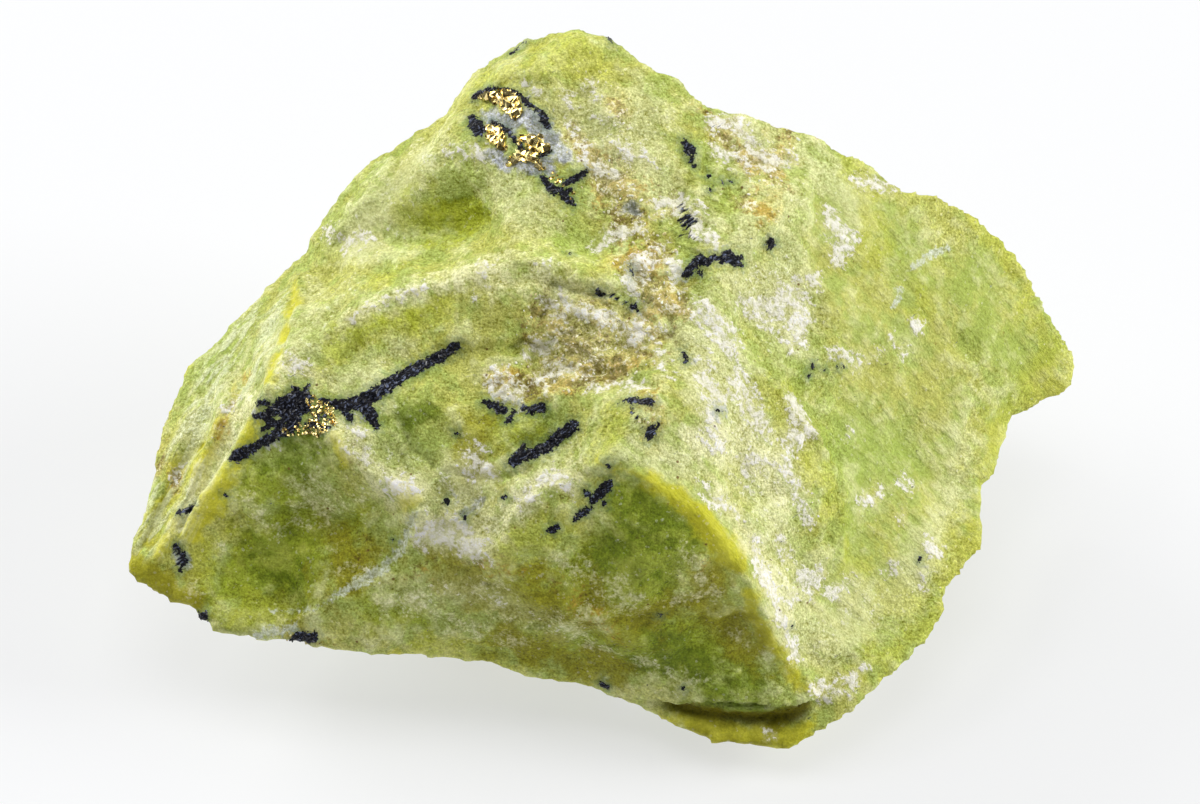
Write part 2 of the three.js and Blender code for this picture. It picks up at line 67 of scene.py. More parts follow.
# Strokes of each mineral: (across, down, half width), all in pixels of the view.
BLACK = {
    "long bar": [
        (334, 403, 3), (345, 405, 5.5), (358, 403, 7), (370, 399, 7), (380, 391, 7), (390, 384, 6.5),
        (402, 377, 6.2), (412, 370, 5.8), (425, 364, 5.5), (438, 357, 5.3), (450, 350, 5), (456, 347, 4.5),
    ],
    "long bar's beard": [(344, 409, 5), (350, 418, 3.5)],
    "long bar's spike": [(362, 402, 7), (371, 414, 6), (377, 426, 3)],
    "cluster": [(268, 413, 3.5), (278, 410, 6), (287, 404, 9), (297, 399, 9.5), (306, 397, 5.5)],
    "cluster's peak": [(294, 386, 1.5), (296, 392, 4), (300, 400, 8), (304, 407, 8)],
    "cluster's foot": [(289, 412, 10), (294, 420, 8), (291, 429, 4)],
    "cluster's cheek": [(266, 419, 3), (276, 424, 4.5), (283, 424, 5)],
    "cluster's thorns": [(268, 404, 4), (259, 400, 1.5)],
    "cluster's barb": [(265, 414, 4), (256, 417, 1.5)],
    "cluster's spur": [(270, 423, 4), (262, 431, 1)],
    "cluster's tooth": [(304, 393, 4), (309, 385, 1)],
    "low bar": [
        (291, 428, 5), (278, 434, 4.5), (266, 440, 4.5), (252, 449, 4.5), (240, 455, 5.5), (234, 458, 4),
    ],
    "row of grains": [(484, 401, 2), (490, 404, 3), (497, 408, 4.5), (504, 410, 4)],
    "row's drop": [(513, 412, 3), (509, 422, 3.5)],
    "row's end": [(523, 408, 2.5), (531, 410, 4), (541, 408, 5.5)],
    "short bar": [
        (513, 462, 5), (526, 455, 6), (538, 452, 5.5), (548, 447, 5.5), (560, 435, 6), (574, 426, 5.5),
    ],
    "short bar's twig": [(524, 445, 2), (522, 452, 2.5)],
    "lip band": [(620, 404, 1.5), (631, 401, 3), (640, 402, 3.5), (650, 402, 3.5)],
    "lip spot": [(652, 430, 5), (649, 437, 4)],
    "lip dot": [(658, 425, 1.8)],
    "brow cluster": [(609, 484, 5), (602, 492, 5.5), (593, 499, 4)],
    "brow grains": [(586, 491, 2)],
    "brow drop": [(605, 503, 2.6)],
    "brow trail": [(592, 507, 2), (582, 513, 3), (575, 518, 2)],
    "brow dot": [(556, 527, 3), (551, 530, 3.5)],
    "brow fleck": [(611, 463, 2)],
    "crown blob": [(685, 143, 3.5), (689, 150, 5), (692, 155, 3)],
    "crown dot one": [(691, 161, 2.2)],
    "crown dot two": [(695, 166, 1.6)],
    "crown dot three": [(708, 177, 1.8)],
    "crown dot four": [(720, 182, 1.6)],
    "crown dot five": [(731, 181, 1.4)],
    "crown dot six": [(709, 190, 2.6)],
    "chain": [
        (684, 277, 2), (689, 271, 4.5), (693, 265, 3), (700, 260, 6), (708, 262, 4.5), (713, 257, 2.5),
        (719, 260, 2),
    ],
    "chain's spur": [(697, 268, 3), (701, 274, 1.2)],
    "chain's blob": [(721, 262, 3), (727, 256, 6), (733, 261, 6), (740, 258, 2.5)],
    "chain's foot": [(738, 262, 3), (742, 266, 1.2)],
    "lone dot": [(770, 244, 5.5)],
    "pocket smear one": [(598, 290, 3), (604, 294, 2)],
    "pocket smear two": [(632, 304, 2.5), (638, 309, 2.5)],
    "pocket smear three": [(630, 268, 2), (632, 276, 2)],
    "pocket dot": [(684, 354, 2.5), (686, 361, 2.8)],
    "face dot one": [(716, 411, 1.6)],
    "face dot two": [(722, 412, 1.6)],
    "face dot three": [(812, 365, 2)],
    "face dot four": [(809, 375, 2)],
    "face dot five": [(824, 369, 1.2)],
    "face dot six": [(837, 366, 1.5)],
    "face dot seven": [(842, 367, 1.6)],
    "face dot eight": [(919, 559, 2.4)],
    "prow dot one": [(791, 626, 1.6)],
    "prow dot two": [(684, 688, 2.2)],
    "prow dot three": [(660, 616, 2)],
    "gold's arc": [
        (474, 99, 3), (480, 94, 3.5), (490, 90, 2.5), (500, 89, 2), (512, 91, 2), (522, 97, 2.5),
        (528, 104, 2.5), (536, 109, 2), (542, 114, 2.5), (545, 121, 4.5), (548, 126, 3),
    ],
    "gold's oval": [(472, 118, 4), (475, 124, 7), (480, 131, 7)],
    "gold's crack": [
        (491, 123, 2.5), (500, 126, 2.5), (509, 133, 3), (516, 141, 3), (523, 150, 2.5), (530, 157, 2),
    ],
    "gold's lower edge": [(549, 152, 1.5), (538, 157, 2)],
    "gold's tail": [
        (541, 172, 1.2), (546, 183, 3), (553, 190, 5), (560, 191, 3.5), (566, 197, 5), (573, 204, 3),
    ],
    "gold's twig": [(565, 184, 3), (577, 177, 3.5), (585, 173, 3)],
    "gold's thorn": [(569, 190, 2.5), (566, 197, 3)],
    "left pit": [(179, 513, 3), (188, 510, 3), (195, 506, 3.5)],
    "left patch": [(176, 546, 3), (181, 552, 2), (185, 561, 2.5), (179, 570, 1.5)],
    "bar's grains": [(352, 416, 2), (322, 399, 2), (318, 421, 2), (306, 424, 2), (330, 428, 1.5)],
    "left fleck": [(226, 494, 2.2)],
    "foot spot": [(204, 616, 4.5), (206, 622, 4)],
    "foot smear": [(214, 626, 2), (224, 630, 2.5)],
    "foot thread": [(246, 634, 1.5), (262, 636, 1.5)],
    "foot patch": [(288, 640, 4), (300, 637, 6), (312, 635, 6)],
    "edge fleck": [(603, 684, 4), (608, 685, 3)],
    "crown knob": [(668, 76, 2), (673, 79, 4), (678, 83, 2.5)],
    "crown fleck": [(609, 41, 2.5), (612, 45, 1.5)],
    "crown line": [(512, 56, 1.5), (520, 51, 1.8), (527, 47, 1.5)],
    "bowl dot": [(392, 539, 1.6)],
    "middle dot one": [(447, 501, 2.6)],
    "middle dot two": [(466, 516, 2.2)],
    "middle dot three": [(506, 498, 2.6)],
    "middle dot four": [(457, 433, 2)],
    "dell dot": [(569, 256, 2)],
}
INKY = {  # where fine black threads show through the white
    "crown threads": [(682, 210, 6), (686, 220, 11), (681, 232, 8), (692, 236, 5)],
    "left patch": [(177, 549, 6), (182, 562, 7)],
    "gold's ground": [(314, 404, 6), (322, 412, 8), (328, 420, 6), (310, 424, 5)],
    "slab pit": [(186, 511, 6), (194, 505, 5)],
    "foot patch": [(290, 639, 6), (312, 634, 8)],
    "lip": [(626, 401, 4), (650, 434, 7)],
    "pocket": [(600, 290, 5), (636, 306, 6)],
    "brow": [(590, 496, 7)],
}
GOLD = {
    "upper leaf": [(482, 97, 2.5), (492, 97, 5), (503, 97, 7.5), (511, 103, 9.5), (516, 112, 7)],
    "brown leaf": [(489, 127, 4), (494, 133, 7), (500, 141, 7), (504, 147, 4)],
    "bright leaf": [(521, 139, 4), (528, 140, 5.5), (537, 143, 7), (546, 147, 4.5), (534, 150, 5)],
    "low leaf": [(509, 163, 2.5), (515, 159, 3.5), (522, 154, 4.5), (524, 160, 2.5)],
    "thread": [(531, 156, 2.5), (537, 162, 2.5), (542, 169, 2)],
    "grains at the tail": [(552, 176, 2), (557, 180, 3), (562, 182, 2)],
    "last grains": [(569, 189, 1.5), (572, 197, 1.5)],
    "grains by the cluster": [(308, 402, 3), (315, 404, 7), (323, 412, 10), (331, 420, 6)],
    "grains under the cluster": [(296, 431, 4), (306, 428, 7), (318, 427, 7), (328, 428, 4)],
    "grains on the bar": [(286, 431, 3)],
}
GREY = {
    "gold's bed": [
        (482, 112, 5), (496, 120, 9), (512, 124, 11), (528, 116, 10), (542, 132, 12), (554, 148, 10),
        (562, 160, 7),
    ],
    "gold's lower bed": [(490, 152, 6), (503, 162, 7), (530, 166, 7), (548, 168, 8)],
    "middle streak": [(483, 500, 3), (474, 508, 4), (466, 515, 3)],
    "crown smears": [(628, 208, 5), (640, 214, 4)],
    "left patch": [(182, 560, 7)],
}
VEIN = {
    "bowl": [
        (415, 514, 2.5), (410, 526, 3), (404, 540, 4), (396, 555, 4.5), (380, 569, 5), (360, 581, 4.5),
        (343, 591, 4), (328, 601, 2),
    ],
    "bowl's tail": [(322, 606, 1), (300, 610, 1.2), (270, 612, 1)],
    "face streak": [(912, 268, 2), (922, 260, 3), (934, 253, 3), (948, 248, 2.5)],
    "face patch": [(897, 288, 3), (900, 296, 3), (894, 306, 3)],
    "foot": [(222, 630, 2), (246, 634, 2), (294, 627, 4)],
}
CRUST = {
    "knuckle": [(286, 366, 5), (293, 366, 9), (301, 366, 6)],
    "cluster's rim": [(259, 404, 2), (259, 416, 2)],
    "low bar's rim": [(266, 446, 2), (276, 442, 3)],
    "spike's rim": [(352, 428, 3), (360, 440, 3)],
    "crest speck one": [(486, 269, 3)],
    "crest speck two": [(545, 266, 3)],
    "crest speck three": [(484, 292, 3), (476, 300, 2)],
    # a painted highlight along the bow's crest
    "painted highlight on the bow's crest": [(352, 318, 0.3), (391, 298, 1), (425, 289, 0.3)],
    "crown smear one": [(565, 98, 3), (569, 104, 4)],
    "crown smear two": [(591, 84, 4), (598, 89, 4)],
    "crown smear three": [(525, 83, 2), (534, 91, 3)],
    "crown smear four": [(568, 121, 3), (576, 125, 3)],
    "crown smear five": [(600, 117, 2), (605, 123, 3)],
    "crown smear six": [(572, 140, 4), (590, 150, 3), (584, 162, 4), (600, 172, 4), (616, 178, 4)],
    "crown smear seven": [(640, 150, 3), (650, 166, 3), (612, 140, 3)],
    "left slope": [(325, 232, 3), (350, 245, 4), (368, 240, 3)],
    "left shoulder": [(446, 152, 2), (480, 155, 3.5), (487, 163, 2)],
    "crown right": [(715, 125, 7), (735, 122, 8), (752, 150, 10), (768, 166, 9), (786, 160, 5)],
    "crown right low": [(717, 150, 8), (742, 160, 8)],
    "thread bed": [(657, 206, 6), (668, 205, 9), (690, 208, 9), (700, 228, 10), (712, 240, 7)],
    "upper pocket": [(640, 262, 8), (630, 284, 8), (660, 250, 6), (680, 276, 8)],
    "pocket one": [(640, 315, 8), (638, 340, 7), (652, 330, 6)],
    "pocket two": [(548, 300, 7), (568, 308, 8), (590, 316, 8), (612, 320, 8)],
    "pocket three": [(530, 352, 7), (552, 344, 8)],
    "pocket four": [(500, 380, 10), (517, 402, 10), (505, 392, 12)],
    "pocket five": [(560, 366, 7), (545, 372, 8), (580, 372, 6)],
    "pocket six": [(590, 388, 5), (612, 386, 6), (640, 384, 7)],
    "pocket seven": [(655, 345, 5), (662, 360, 4), (668, 372, 4)],
    "behind the pocket": [(600, 246, 6), (620, 232, 7), (640, 224, 6)],
    "face top": [(700, 310, 10), (722, 330, 13), (730, 350, 12)],
    "face middle": [(745, 300, 9), (770, 310, 13), (795, 290, 10), (800, 320, 12), (790, 345, 9)],
    "face left": [(700, 370, 9), (715, 395, 11), (712, 420, 11), (716, 446, 8)],
    "face run": [(735, 380, 9), (752, 408, 11), (765, 430, 9)],
    "face plate": [(790, 400, 9), (800, 416, 13), (806, 432, 9), (790, 440, 10)],
    "face low run": [(748, 462, 9), (752, 474, 7)],
    "face strip": [(782, 462, 7), (790, 485, 7), (804, 505, 6), (808, 522, 5)],
    "face low strip": [(778, 540, 4), (790, 552, 5)],
    "prow white": [(700, 488, 3), (712, 502, 4), (733, 510, 3), (738, 522, 3)],
    "prow run": [(752, 546, 5), (762, 575, 7), (772, 600, 7), (786, 630, 6), (794, 655, 5)],
    "prow low run": [(790, 600, 5), (800, 580, 10), (816, 574, 9), (812, 592, 8)],
    "prow arcs": [(835, 590, 6), (848, 582, 6)],
    "prow foot": [(818, 690, 6), (828, 695, 6), (846, 684, 5), (862, 668, 4)],
    "face speck one": [(916, 328, 6)],
    "face speck two": [(890, 338, 3)],
    "face speck three": [(903, 352, 4.5)],
    "face speck four": [(832, 352, 3), (848, 360, 4), (864, 362, 4)],
    "face speck five": [(878, 354, 4)],
    "face speck six": [(810, 280, 5), (818, 276, 3)],
    "face speck seven": [(908, 485, 4.5), (902, 480, 3)],
    "face speck eight": [(902, 515, 4)],
    "face speck nine": [(931, 548, 7), (938, 552, 5)],
    "face speck ten": [(893, 569, 4)],
    "face speck eleven": [(918, 574, 3), (924, 582, 4)],
    "face speck twelve": [(851, 434, 3)],
    "face speck thirteen": [(860, 500, 5), (880, 494, 5)],
    "edge run": [(860, 180, 5), (880, 185, 6), (892, 186, 5)],
    "upper face": [(830, 220, 8), (845, 240, 9), (835, 258, 8)],
    "middle crust": [(424, 540, 9), (436, 530, 13), (455, 533, 14), (476, 548, 11), (488, 553, 6)],
    "bowl glint one": [(354, 428, 6), (362, 434, 5)],
    "bowl glint two": [(360, 450, 6), (364, 458, 5)],
    "bowl glint three": [(388, 480, 6), (400, 484, 8), (412, 486, 5)],
    "left glint": [(174, 474, 5)],
    "trough": [(470, 452, 6), (482, 462, 6), (466, 470, 7), (492, 470, 5)],
    "trough low": [(520, 500, 5), (536, 492, 5), (552, 476, 6), (570, 486, 6)],
    "lip white": [(764, 732, 1.5), (770, 738, 2)],
    "slab line": [(226, 412, 2.5), (234, 400, 2.5)],
}
FROST = {
    "bowl haze": [(310, 494, 13), (334, 502, 10)],
    "bowl dust one": [(250, 500, 8), (260, 512, 10), (272, 520, 6)],
    "bowl dust two": [(298, 486, 9), (316, 484, 10), (330, 492, 8)],
    "bowl dust three": [(334, 550, 5), (342, 566, 6), (358, 572, 5), (374, 562, 4)],
    "front patch": [(686, 545, 7), (696, 556, 9)],
    "front crumbs": [(480, 588, 8), (500, 582, 9), (512, 594, 7)],
    "front band": [(495, 616, 6), (515, 620, 8), (540, 628, 6)],
    "front frost": [(600, 572, 8), (624, 578, 9), (632, 596, 7)],
    "front speck one": [(575, 640, 6), (586, 646, 6)],
    "low crumbs": [(726, 630, 6), (744, 640, 8), (756, 652, 8), (772, 648, 6)],
    "middle run": [(404, 600, 6), (420, 592, 8), (445, 584, 7)],
    "bowl arc": [(240, 540, 4), (222, 543, 4)],
    "foot arc": [(254, 618, 3), (284, 620, 3), (304, 614, 3)],
    "left pale": [(186, 580, 5), (196, 590, 6)],
    "bowl": [(300, 500, 12), (330, 510, 12), (280, 530, 10), (360, 500, 8)],
    "front left": [(380, 600, 12), (430, 610, 14), (470, 630, 12), (520, 640, 12)],
    "front middle": [(560, 560, 14), (600, 580, 16), (640, 600, 12), (560, 620, 14), (600, 650, 12)],
    "front right": [(690, 560, 10), (710, 590, 10), (680, 600, 10)],
    "front low": [(640, 660, 10), (700, 680, 8)],
    "far slope": [(420, 140, 6), (390, 180, 6)],
}
OCHRE = {
    "behind the pocket": [(590, 196, 7), (606, 216, 12), (622, 246, 16), (648, 262, 14)],
    "pocket's crown side": [(645, 180, 9), (660, 190, 10), (700, 214, 8)],
    "crown speck": [(617, 108, 5), (620, 120, 4)],
    "pocket back": [(630, 280, 12), (655, 300, 15), (680, 312, 12), (672, 340, 10)],
    "pocket floor": [(560, 330, 9), (580, 350, 14), (590, 368, 14), (600, 380, 10)],
    "pocket left": [(545, 288, 6), (540, 306, 6), (516, 332, 8), (530, 342, 6)],
    "pocket front": [(490, 372, 4), (568, 388, 8), (620, 372, 10), (640, 360, 8)],
    "lip": [(655, 390, 6), (648, 418, 5), (645, 425, 5)],
    "crown edge": [(700, 108, 5), (716, 114, 5), (738, 134, 8), (748, 176, 8)],
    "crown edge far": [(776, 128, 4), (792, 134, 4)],
    "crown side": [(672, 79, 5)],
    "crown mix": [(576, 140, 8), (600, 165, 12), (630, 185, 12)],
    "crown right": [(730, 140, 9), (770, 165, 11), (792, 190, 8)],
    "crown right low": [(745, 200, 10), (758, 216, 12)],
    "under the gold": [(565, 176, 6), (590, 206, 9), (600, 190, 8)],
    "gold grains' ground": [(314, 410, 10), (310, 426, 7)],
    "dell stain": [(484, 194, 6), (494, 200, 5)],
    "face stain": [(744, 176, 7), (752, 190, 5), (745, 210, 5)],
    "front stain": [(548, 580, 12), (575, 594, 14), (600, 622, 14), (622, 640, 12)],
    "front stain left": [(470, 560, 10), (500, 566, 12), (520, 572, 10)],
    "front stain right": [(700, 560, 8), (705, 580, 7)],
    "bowl stain": [(354, 536, 9), (368, 545, 9), (360, 562, 9)],
    "bowl brow": [(348, 446, 6), (352, 462, 6)],
    "middle stain": [(430, 560, 9), (410, 580, 8), (424, 572, 7)],
    "brow stain": [(560, 500, 7), (552, 508, 6)],
    "left fleck one": [(161, 461, 4), (158, 472, 3)],
    "left fleck two": [(176, 482, 5), (180, 478, 4)],
    "left line": [(246, 378, 2), (238, 392, 2.5), (230, 404, 3), (222, 428, 3), (216, 442, 2)],
    "foot": [(318, 640, 4), (330, 642, 4)],
    "orange dot": [(475, 347, 2.5)],
    "ring dot": [(829, 657, 2.6)],
}
WAXY = {
    "prow": [
        (601, 460, 2), (620, 466, 4), (641, 475, 5), (660, 486, 6), (677, 497, 6), (696, 513, 8),
        (708, 526, 10), (718, 540, 12), (726, 553, 13), (736, 562, 8),
    ],
    "prow low": [(744, 592, 6), (752, 612, 5), (766, 634, 4), (784, 660, 3), (795, 680, 4), (812, 690, 4)],
    "left edge": [
        (262, 420, 3), (250, 438, 5), (239, 458, 6), (227, 480, 6), (214, 500, 7), (202, 518, 7),
        (190, 533, 5),
    ],
    "outer groove": [
        (240, 390, 1.5), (226, 414, 2), (218, 433, 3), (206, 459, 3.5), (192, 490, 3), (168, 531, 3),
        (154, 555, 3),
    ],
    "left tip": [(130, 562, 8), (146, 570, 12), (160, 582, 10), (176, 592, 8), (192, 604, 6)],
    "far groove": [(203, 442, 2), (182, 464, 2.5), (166, 490, 2), (151, 526, 3), (136, 553, 4)],
    "split": [(294, 284, 3), (292, 300, 4), (288, 320, 4), (284, 338, 4)],
    "under the knuckle": [(280, 358, 4), (272, 378, 5)],
    "front rim": [(392, 651, 1), (430, 655, 3), (470, 660, 3), (512, 672, 4), (560, 684, 3), (596, 689, 2)],
    "low brow": [(402, 492, 5), (412, 502, 7)],
    "bowl brow": [(340, 440, 5), (346, 456, 6)],
    "lip": [
        (664, 712, 3), (684, 720, 6), (702, 726, 8), (722, 732, 9), (744, 736, 10), (770, 738, 11),
        (794, 735, 10), (812, 722, 6),
    ],
}
YELLOWED = {  # where the wax colour is only faint
    "prow's head": [(622, 420, 4), (616, 440, 5), (606, 456, 5), (590, 468, 5)],
    "summit": [(548, 50, 9), (566, 48, 10), (584, 60, 9), (560, 64, 6)],
    "outer slab": [(205, 440, 4), (188, 468, 5), (172, 500, 6), (158, 530, 5)],
    "bow's shade": [(330, 350, 7), (345, 344, 9), (372, 330, 8), (400, 318, 8), (440, 316, 7)],
    "bowl floor": [(250, 606, 6), (275, 606, 7)],
    "bowl side": [(200, 560, 5), (220, 548, 6)],
    "front crest": [(486, 556, 8), (505, 550, 9), (530, 545, 9), (548, 540, 7), (572, 530, 5)],
    "front foot": [(428, 644, 10), (470, 652, 9), (510, 668, 6), (560, 680, 5), (590, 682, 4)],
    "right rim one": [(972, 216, 2), (990, 230, 3), (1010, 246, 4), (1024, 268, 4), (1038, 298, 3)],
    "right rim two": [(1050, 320, 2), (1064, 344, 2), (1070, 368, 2), (1058, 390, 4), (1034, 396, 5)],
    "right rim three": [(1016, 410, 4), (1006, 430, 4), (998, 460, 5), (986, 480, 5), (982, 510, 6)],
    "right rim four": [(980, 540, 10), (966, 552, 8), (946, 580, 8), (942, 610, 8), (916, 634, 9)],
    "right rim five": [(890, 650, 6), (868, 672, 5)],
    "face patch one": [(822, 470, 5), (826, 490, 6), (826, 510, 5)],
    "face patch two": [(780, 400, 8), (766, 395, 6)],
    "face patch three": [(850, 560, 8), (862, 566, 6)],
    "face patch four": [(905, 608, 9), (890, 590, 6)],
    "face patch five": [(924, 306, 6), (910, 312, 4)],
    "upper face one": [(880, 215, 5), (888, 235, 6), (872, 250, 5)],
    "upper face two": [(846, 160, 6), (870, 196, 5)],
    "crown one": [(538, 70, 9), (556, 60, 8), (580, 50, 8)],
    "crown two": [(486, 82, 5), (510, 80, 6), (528, 92, 5)],
    "dell": [(450, 230, 7), (470, 224, 6)],
    "slope one": [(370, 280, 7), (388, 276, 6)],
    "step one": [(520, 425, 6), (480, 440, 6)],
    "dell floor": [(410, 214, 12), (440, 226, 14), (462, 224, 10)],
}
VIVID = {  # clear green under a thin crust
    "bowl": [
        (252, 484, 16), (282, 492, 18), (290, 530, 24), (300, 556, 30), (240, 572, 26), (216, 596, 12),
    ],
    "bowl right": [(356, 520, 12), (350, 548, 16)],
    "front": [
        (500, 585, 14), (560, 600, 30), (640, 560, 40), (640, 620, 34), (700, 650, 26), (500, 640, 20),
        (740, 672, 12),
    ],
    "front left": [(370, 606, 10), (416, 622, 8)],
    "brow": [(630, 500, 16), (690, 545, 16)],
    "hollow": [(420, 208, 12), (440, 220, 14), (462, 222, 12)],
    "facet": [(350, 336, 2), (390, 320, 3), (430, 308, 2)],
}
DEEP = {
    "row shade": [(500, 420, 9), (520, 432, 8), (538, 422, 6)],
    "under the gold": [(290, 448, 10), (310, 442, 10), (330, 452, 8), (270, 462, 8)],
    "bowl": [(270, 575, 12), (290, 592, 12)],
    "bowl left": [(248, 548, 1), (276, 556, 3)],
    "bowl right": [(350, 552, 1), (366, 566, 2)],
    "middle": [(402, 426, 2), (424, 411, 3)],
    "bowl low": [(330, 570, 9), (260, 600, 12), (240, 618, 7)],
    "brow": [(624, 500, 8), (650, 512, 10), (680, 534, 14)],
    "front": [(640, 530, 18), (610, 548, 12), (666, 562, 18), (650, 590, 10)],
    "front low": [
        (650, 632, 14), (664, 645, 18), (690, 656, 16), (720, 672, 14), (640, 662, 12), (616, 650, 8),
    ],
    "front right": [(745, 668, 9), (760, 676, 8), (720, 690, 6)],
    # painted shade in the recess under the ledge
    "recess": [(690, 704, 5), (720, 708, 6), (750, 710, 6), (780, 712, 5)],
}
FRESH = {  # brighter green, where the stone is clear
    "dell": [(410, 212, 12), (434, 220, 14), (460, 214, 10)],
    "dell dent": [(560, 240, 6), (572, 250, 6)],
    "far slope": [(385, 190, 6), (360, 215, 6), (335, 235, 6)],
    "crown shade": [(400, 150, 6), (380, 172, 6)],
    "left slope": [(250, 320, 7), (232, 340, 8), (214, 368, 8)],
    # painted shade beside the step down from the crusted plate
    "step": [(846, 480, 5), (858, 470, 9), (850, 500, 5), (846, 530, 6), (850, 550, 7)],
    "middle": [(390, 440, 12), (402, 425, 10), (420, 450, 10), (440, 440, 8)],
    "step top": [(826, 440, 6), (840, 450, 10), (860, 440, 10), (846, 425, 7)],
    "face one": [(900, 470, 12), (880, 450, 12), (920, 460, 10)],
    "face two": [(1000, 394, 8), (1010, 400, 5)],
    "face three": [(1045, 348, 8), (1000, 350, 12), (975, 330, 12), (985, 310, 9)],
    "face four": [(930, 280, 8), (960, 290, 10), (980, 270, 8)],
    "upper face": [(910, 232, 8), (900, 255, 8)],
    "crown patch": [(705, 160, 7), (716, 175, 9), (728, 190, 8)],
    "edge": [(818, 165, 8), (828, 180, 6)],
    "face five": [(805, 360, 8), (800, 372, 6)],
}
PALE = {
    "left slope": [(430, 150, 12), (400, 180, 14), (370, 210, 14), (350, 240, 12)],
    "left slope low": [(310, 290, 8), (306, 320, 8), (300, 345, 8)],
    "crown": [
        (600, 110, 22), (640, 110, 22), (630, 150, 20), (660, 190, 16), (560, 120, 14), (545, 90, 10),
    ],
    "dell rim": [(500, 180, 14), (520, 210, 14), (540, 220, 12)],
    # along the bow's crest: pale stone with a painted highlight
    "crest": [
        (345, 320, 1), (375, 306, 1), (410, 292, 1), (445, 280, 2), (480, 270, 7), (520, 262, 5),
        (550, 268, 5),
    ],
    "prow low": [(752, 598, 6), (762, 616, 7), (772, 636, 6)],
    "bowl": [(312, 498, 1), (326, 502, 2)],
    "middle": [(330, 378, 9), (360, 372, 10), (380, 360, 10), (410, 340, 8)],
    "slabs": [(272, 382, 5), (250, 412, 5), (230, 446, 5), (206, 490, 6), (190, 512, 5)],
    "slabs outer": [(226, 380, 8), (206, 410, 8), (190, 440, 7)],
    "face": [(690, 340, 20), (720, 380, 26), (740, 430, 26), (766, 480, 22), (776, 540, 14)],
    "face low": [(770, 590, 22), (800, 620, 24), (830, 640, 24), (860, 610, 22)],
    "face top": [(740, 290, 22), (790, 310, 24), (780, 200, 14), (740, 230, 14)],
    "upper edge": [(750, 130, 14), (800, 150, 12), (850, 200, 14)],
    "face right": [(930, 560, 16), (900, 600, 16), (950, 500, 14), (960, 440, 12)],
    "prow head": [(640, 400, 12), (650, 440, 12), (680, 470, 12)],
    "middle crest": [(560, 460, 9), (530, 480, 10), (500, 520, 10), (470, 490, 10), (430, 500, 9)],
}
SLABS = {
    "inner": [(280, 300, 14), (262, 360, 16), (236, 410, 16), (206, 470, 16), (176, 530, 16)],
    "outer": [(250, 320, 18), (218, 370, 20), (190, 430, 20), (166, 490, 18), (146, 545, 14)],
}
ROUGH = {
    "pocket": [(540, 310, 22), (580, 330, 34), (620, 340, 40), (560, 370, 28), (510, 385, 20)],
    "pocket back": [(640, 270, 26), (665, 300, 26), (650, 220, 22), (610, 220, 16)],
    "crown": [(690, 220, 24), (740, 150, 18), (780, 150, 14)],
}
MOTTLED = {  # white and ochre by turns, beside the rough places
    "left line": [(246, 378, 1), (238, 392, 3), (230, 406, 4), (224, 420, 2)],
    "left line low": [(221, 432, 3), (215, 444, 3)],
    "left flecks": [(163, 456, 2), (160, 466, 4), (157, 474, 3)],
    "left rim": [(178, 476, 3), (175, 486, 3)],
    "foot": [(290, 638, 4), (312, 634, 4)],
    "crown": [(576, 140, 12), (592, 160, 16), (612, 186, 20), (640, 222, 20), (664, 250, 14)],
    "crown right": [
        (700, 112, 6), (718, 130, 12), (745, 160, 16), (770, 180, 14), (780, 148, 14), (795, 140, 8),
    ],
    "crown right low": [(750, 202, 7), (764, 214, 7)],
    "crown speck": [(616, 104, 8), (622, 120, 5)],
    "pocket": [(540, 310, 18), (580, 330, 32), (620, 340, 38), (560, 370, 28), (510, 385, 20)],
    "pocket back": [(640, 270, 24), (665, 300, 24)],
    "lip": [(650, 396, 9), (652, 425, 9)],
}
UNEVEN = {  # lumpier than the rest
    "middle": [(380, 440, 26), (440, 450, 36), (500, 440, 36), (540, 470, 24), (470, 500, 26)],
    "front": [(420, 580, 26), (500, 600, 32), (580, 610, 36), (660, 620, 30), (720, 650, 24)],
    "bowl": [(280, 510, 30), (350, 540, 30), (260, 570, 24)],
    "crown": [(600, 90, 30), (640, 150, 34), (590, 190, 26), (720, 150, 26), (530, 140, 22)],
}
EVEN = {  # smoother than the rest
    "long face": [(860, 240, 60), (900, 320, 76), (900, 420, 76), (890, 520, 60), (850, 600, 40)],
    "far rim": [(980, 300, 50), (1030, 360, 30), (1056, 390, 16)],
    "right rim": [(1010, 420, 16), (990, 490, 16), (976, 560, 16), (940, 620, 16)],
    "prow": [(640, 470, 14), (700, 515, 18), (745, 570, 18), (780, 650, 14)],
    "slope": [(400, 180, 22), (360, 240, 18)],
}
BLEACHED = {  # where the wax is almost white
    "knuckle": [(288, 364, 4), (298, 370, 4)],
    # along the bow's crest: pale wax with a painted highlight
    "bow": [
        (345, 325, 1), (365, 313, 1), (391, 299, 1.5), (420, 290, 1.5), (450, 281, 2), (480, 272, 4),
        (500, 267, 3),
    ],
    "bow's foot": [(500, 286, 4), (540, 284, 6), (572, 290, 6), (598, 296, 6)],
    "middle": [
        (430, 528, 14), (455, 530, 15), (478, 540, 12), (500, 522, 5), (520, 502, 4), (545, 486, 4),
        (570, 470, 3),
    ],
    "bowl's rim": [
        (338, 424, 5), (350, 436, 6), (362, 452, 7), (372, 466, 5), (392, 482, 7), (410, 490, 5),
    ],
    "prow": [(716, 500, 3), (735, 520, 4), (750, 545, 6), (766, 572, 8), (776, 600, 7), (786, 625, 6)],
    "shoulder": [(700, 440, 12), (740, 440, 12), (768, 470, 10), (782, 500, 5)],
    "slab": [(252, 396, 3), (236, 420, 3), (220, 446, 3), (206, 474, 3), (190, 504, 3), (176, 528, 1)],
}
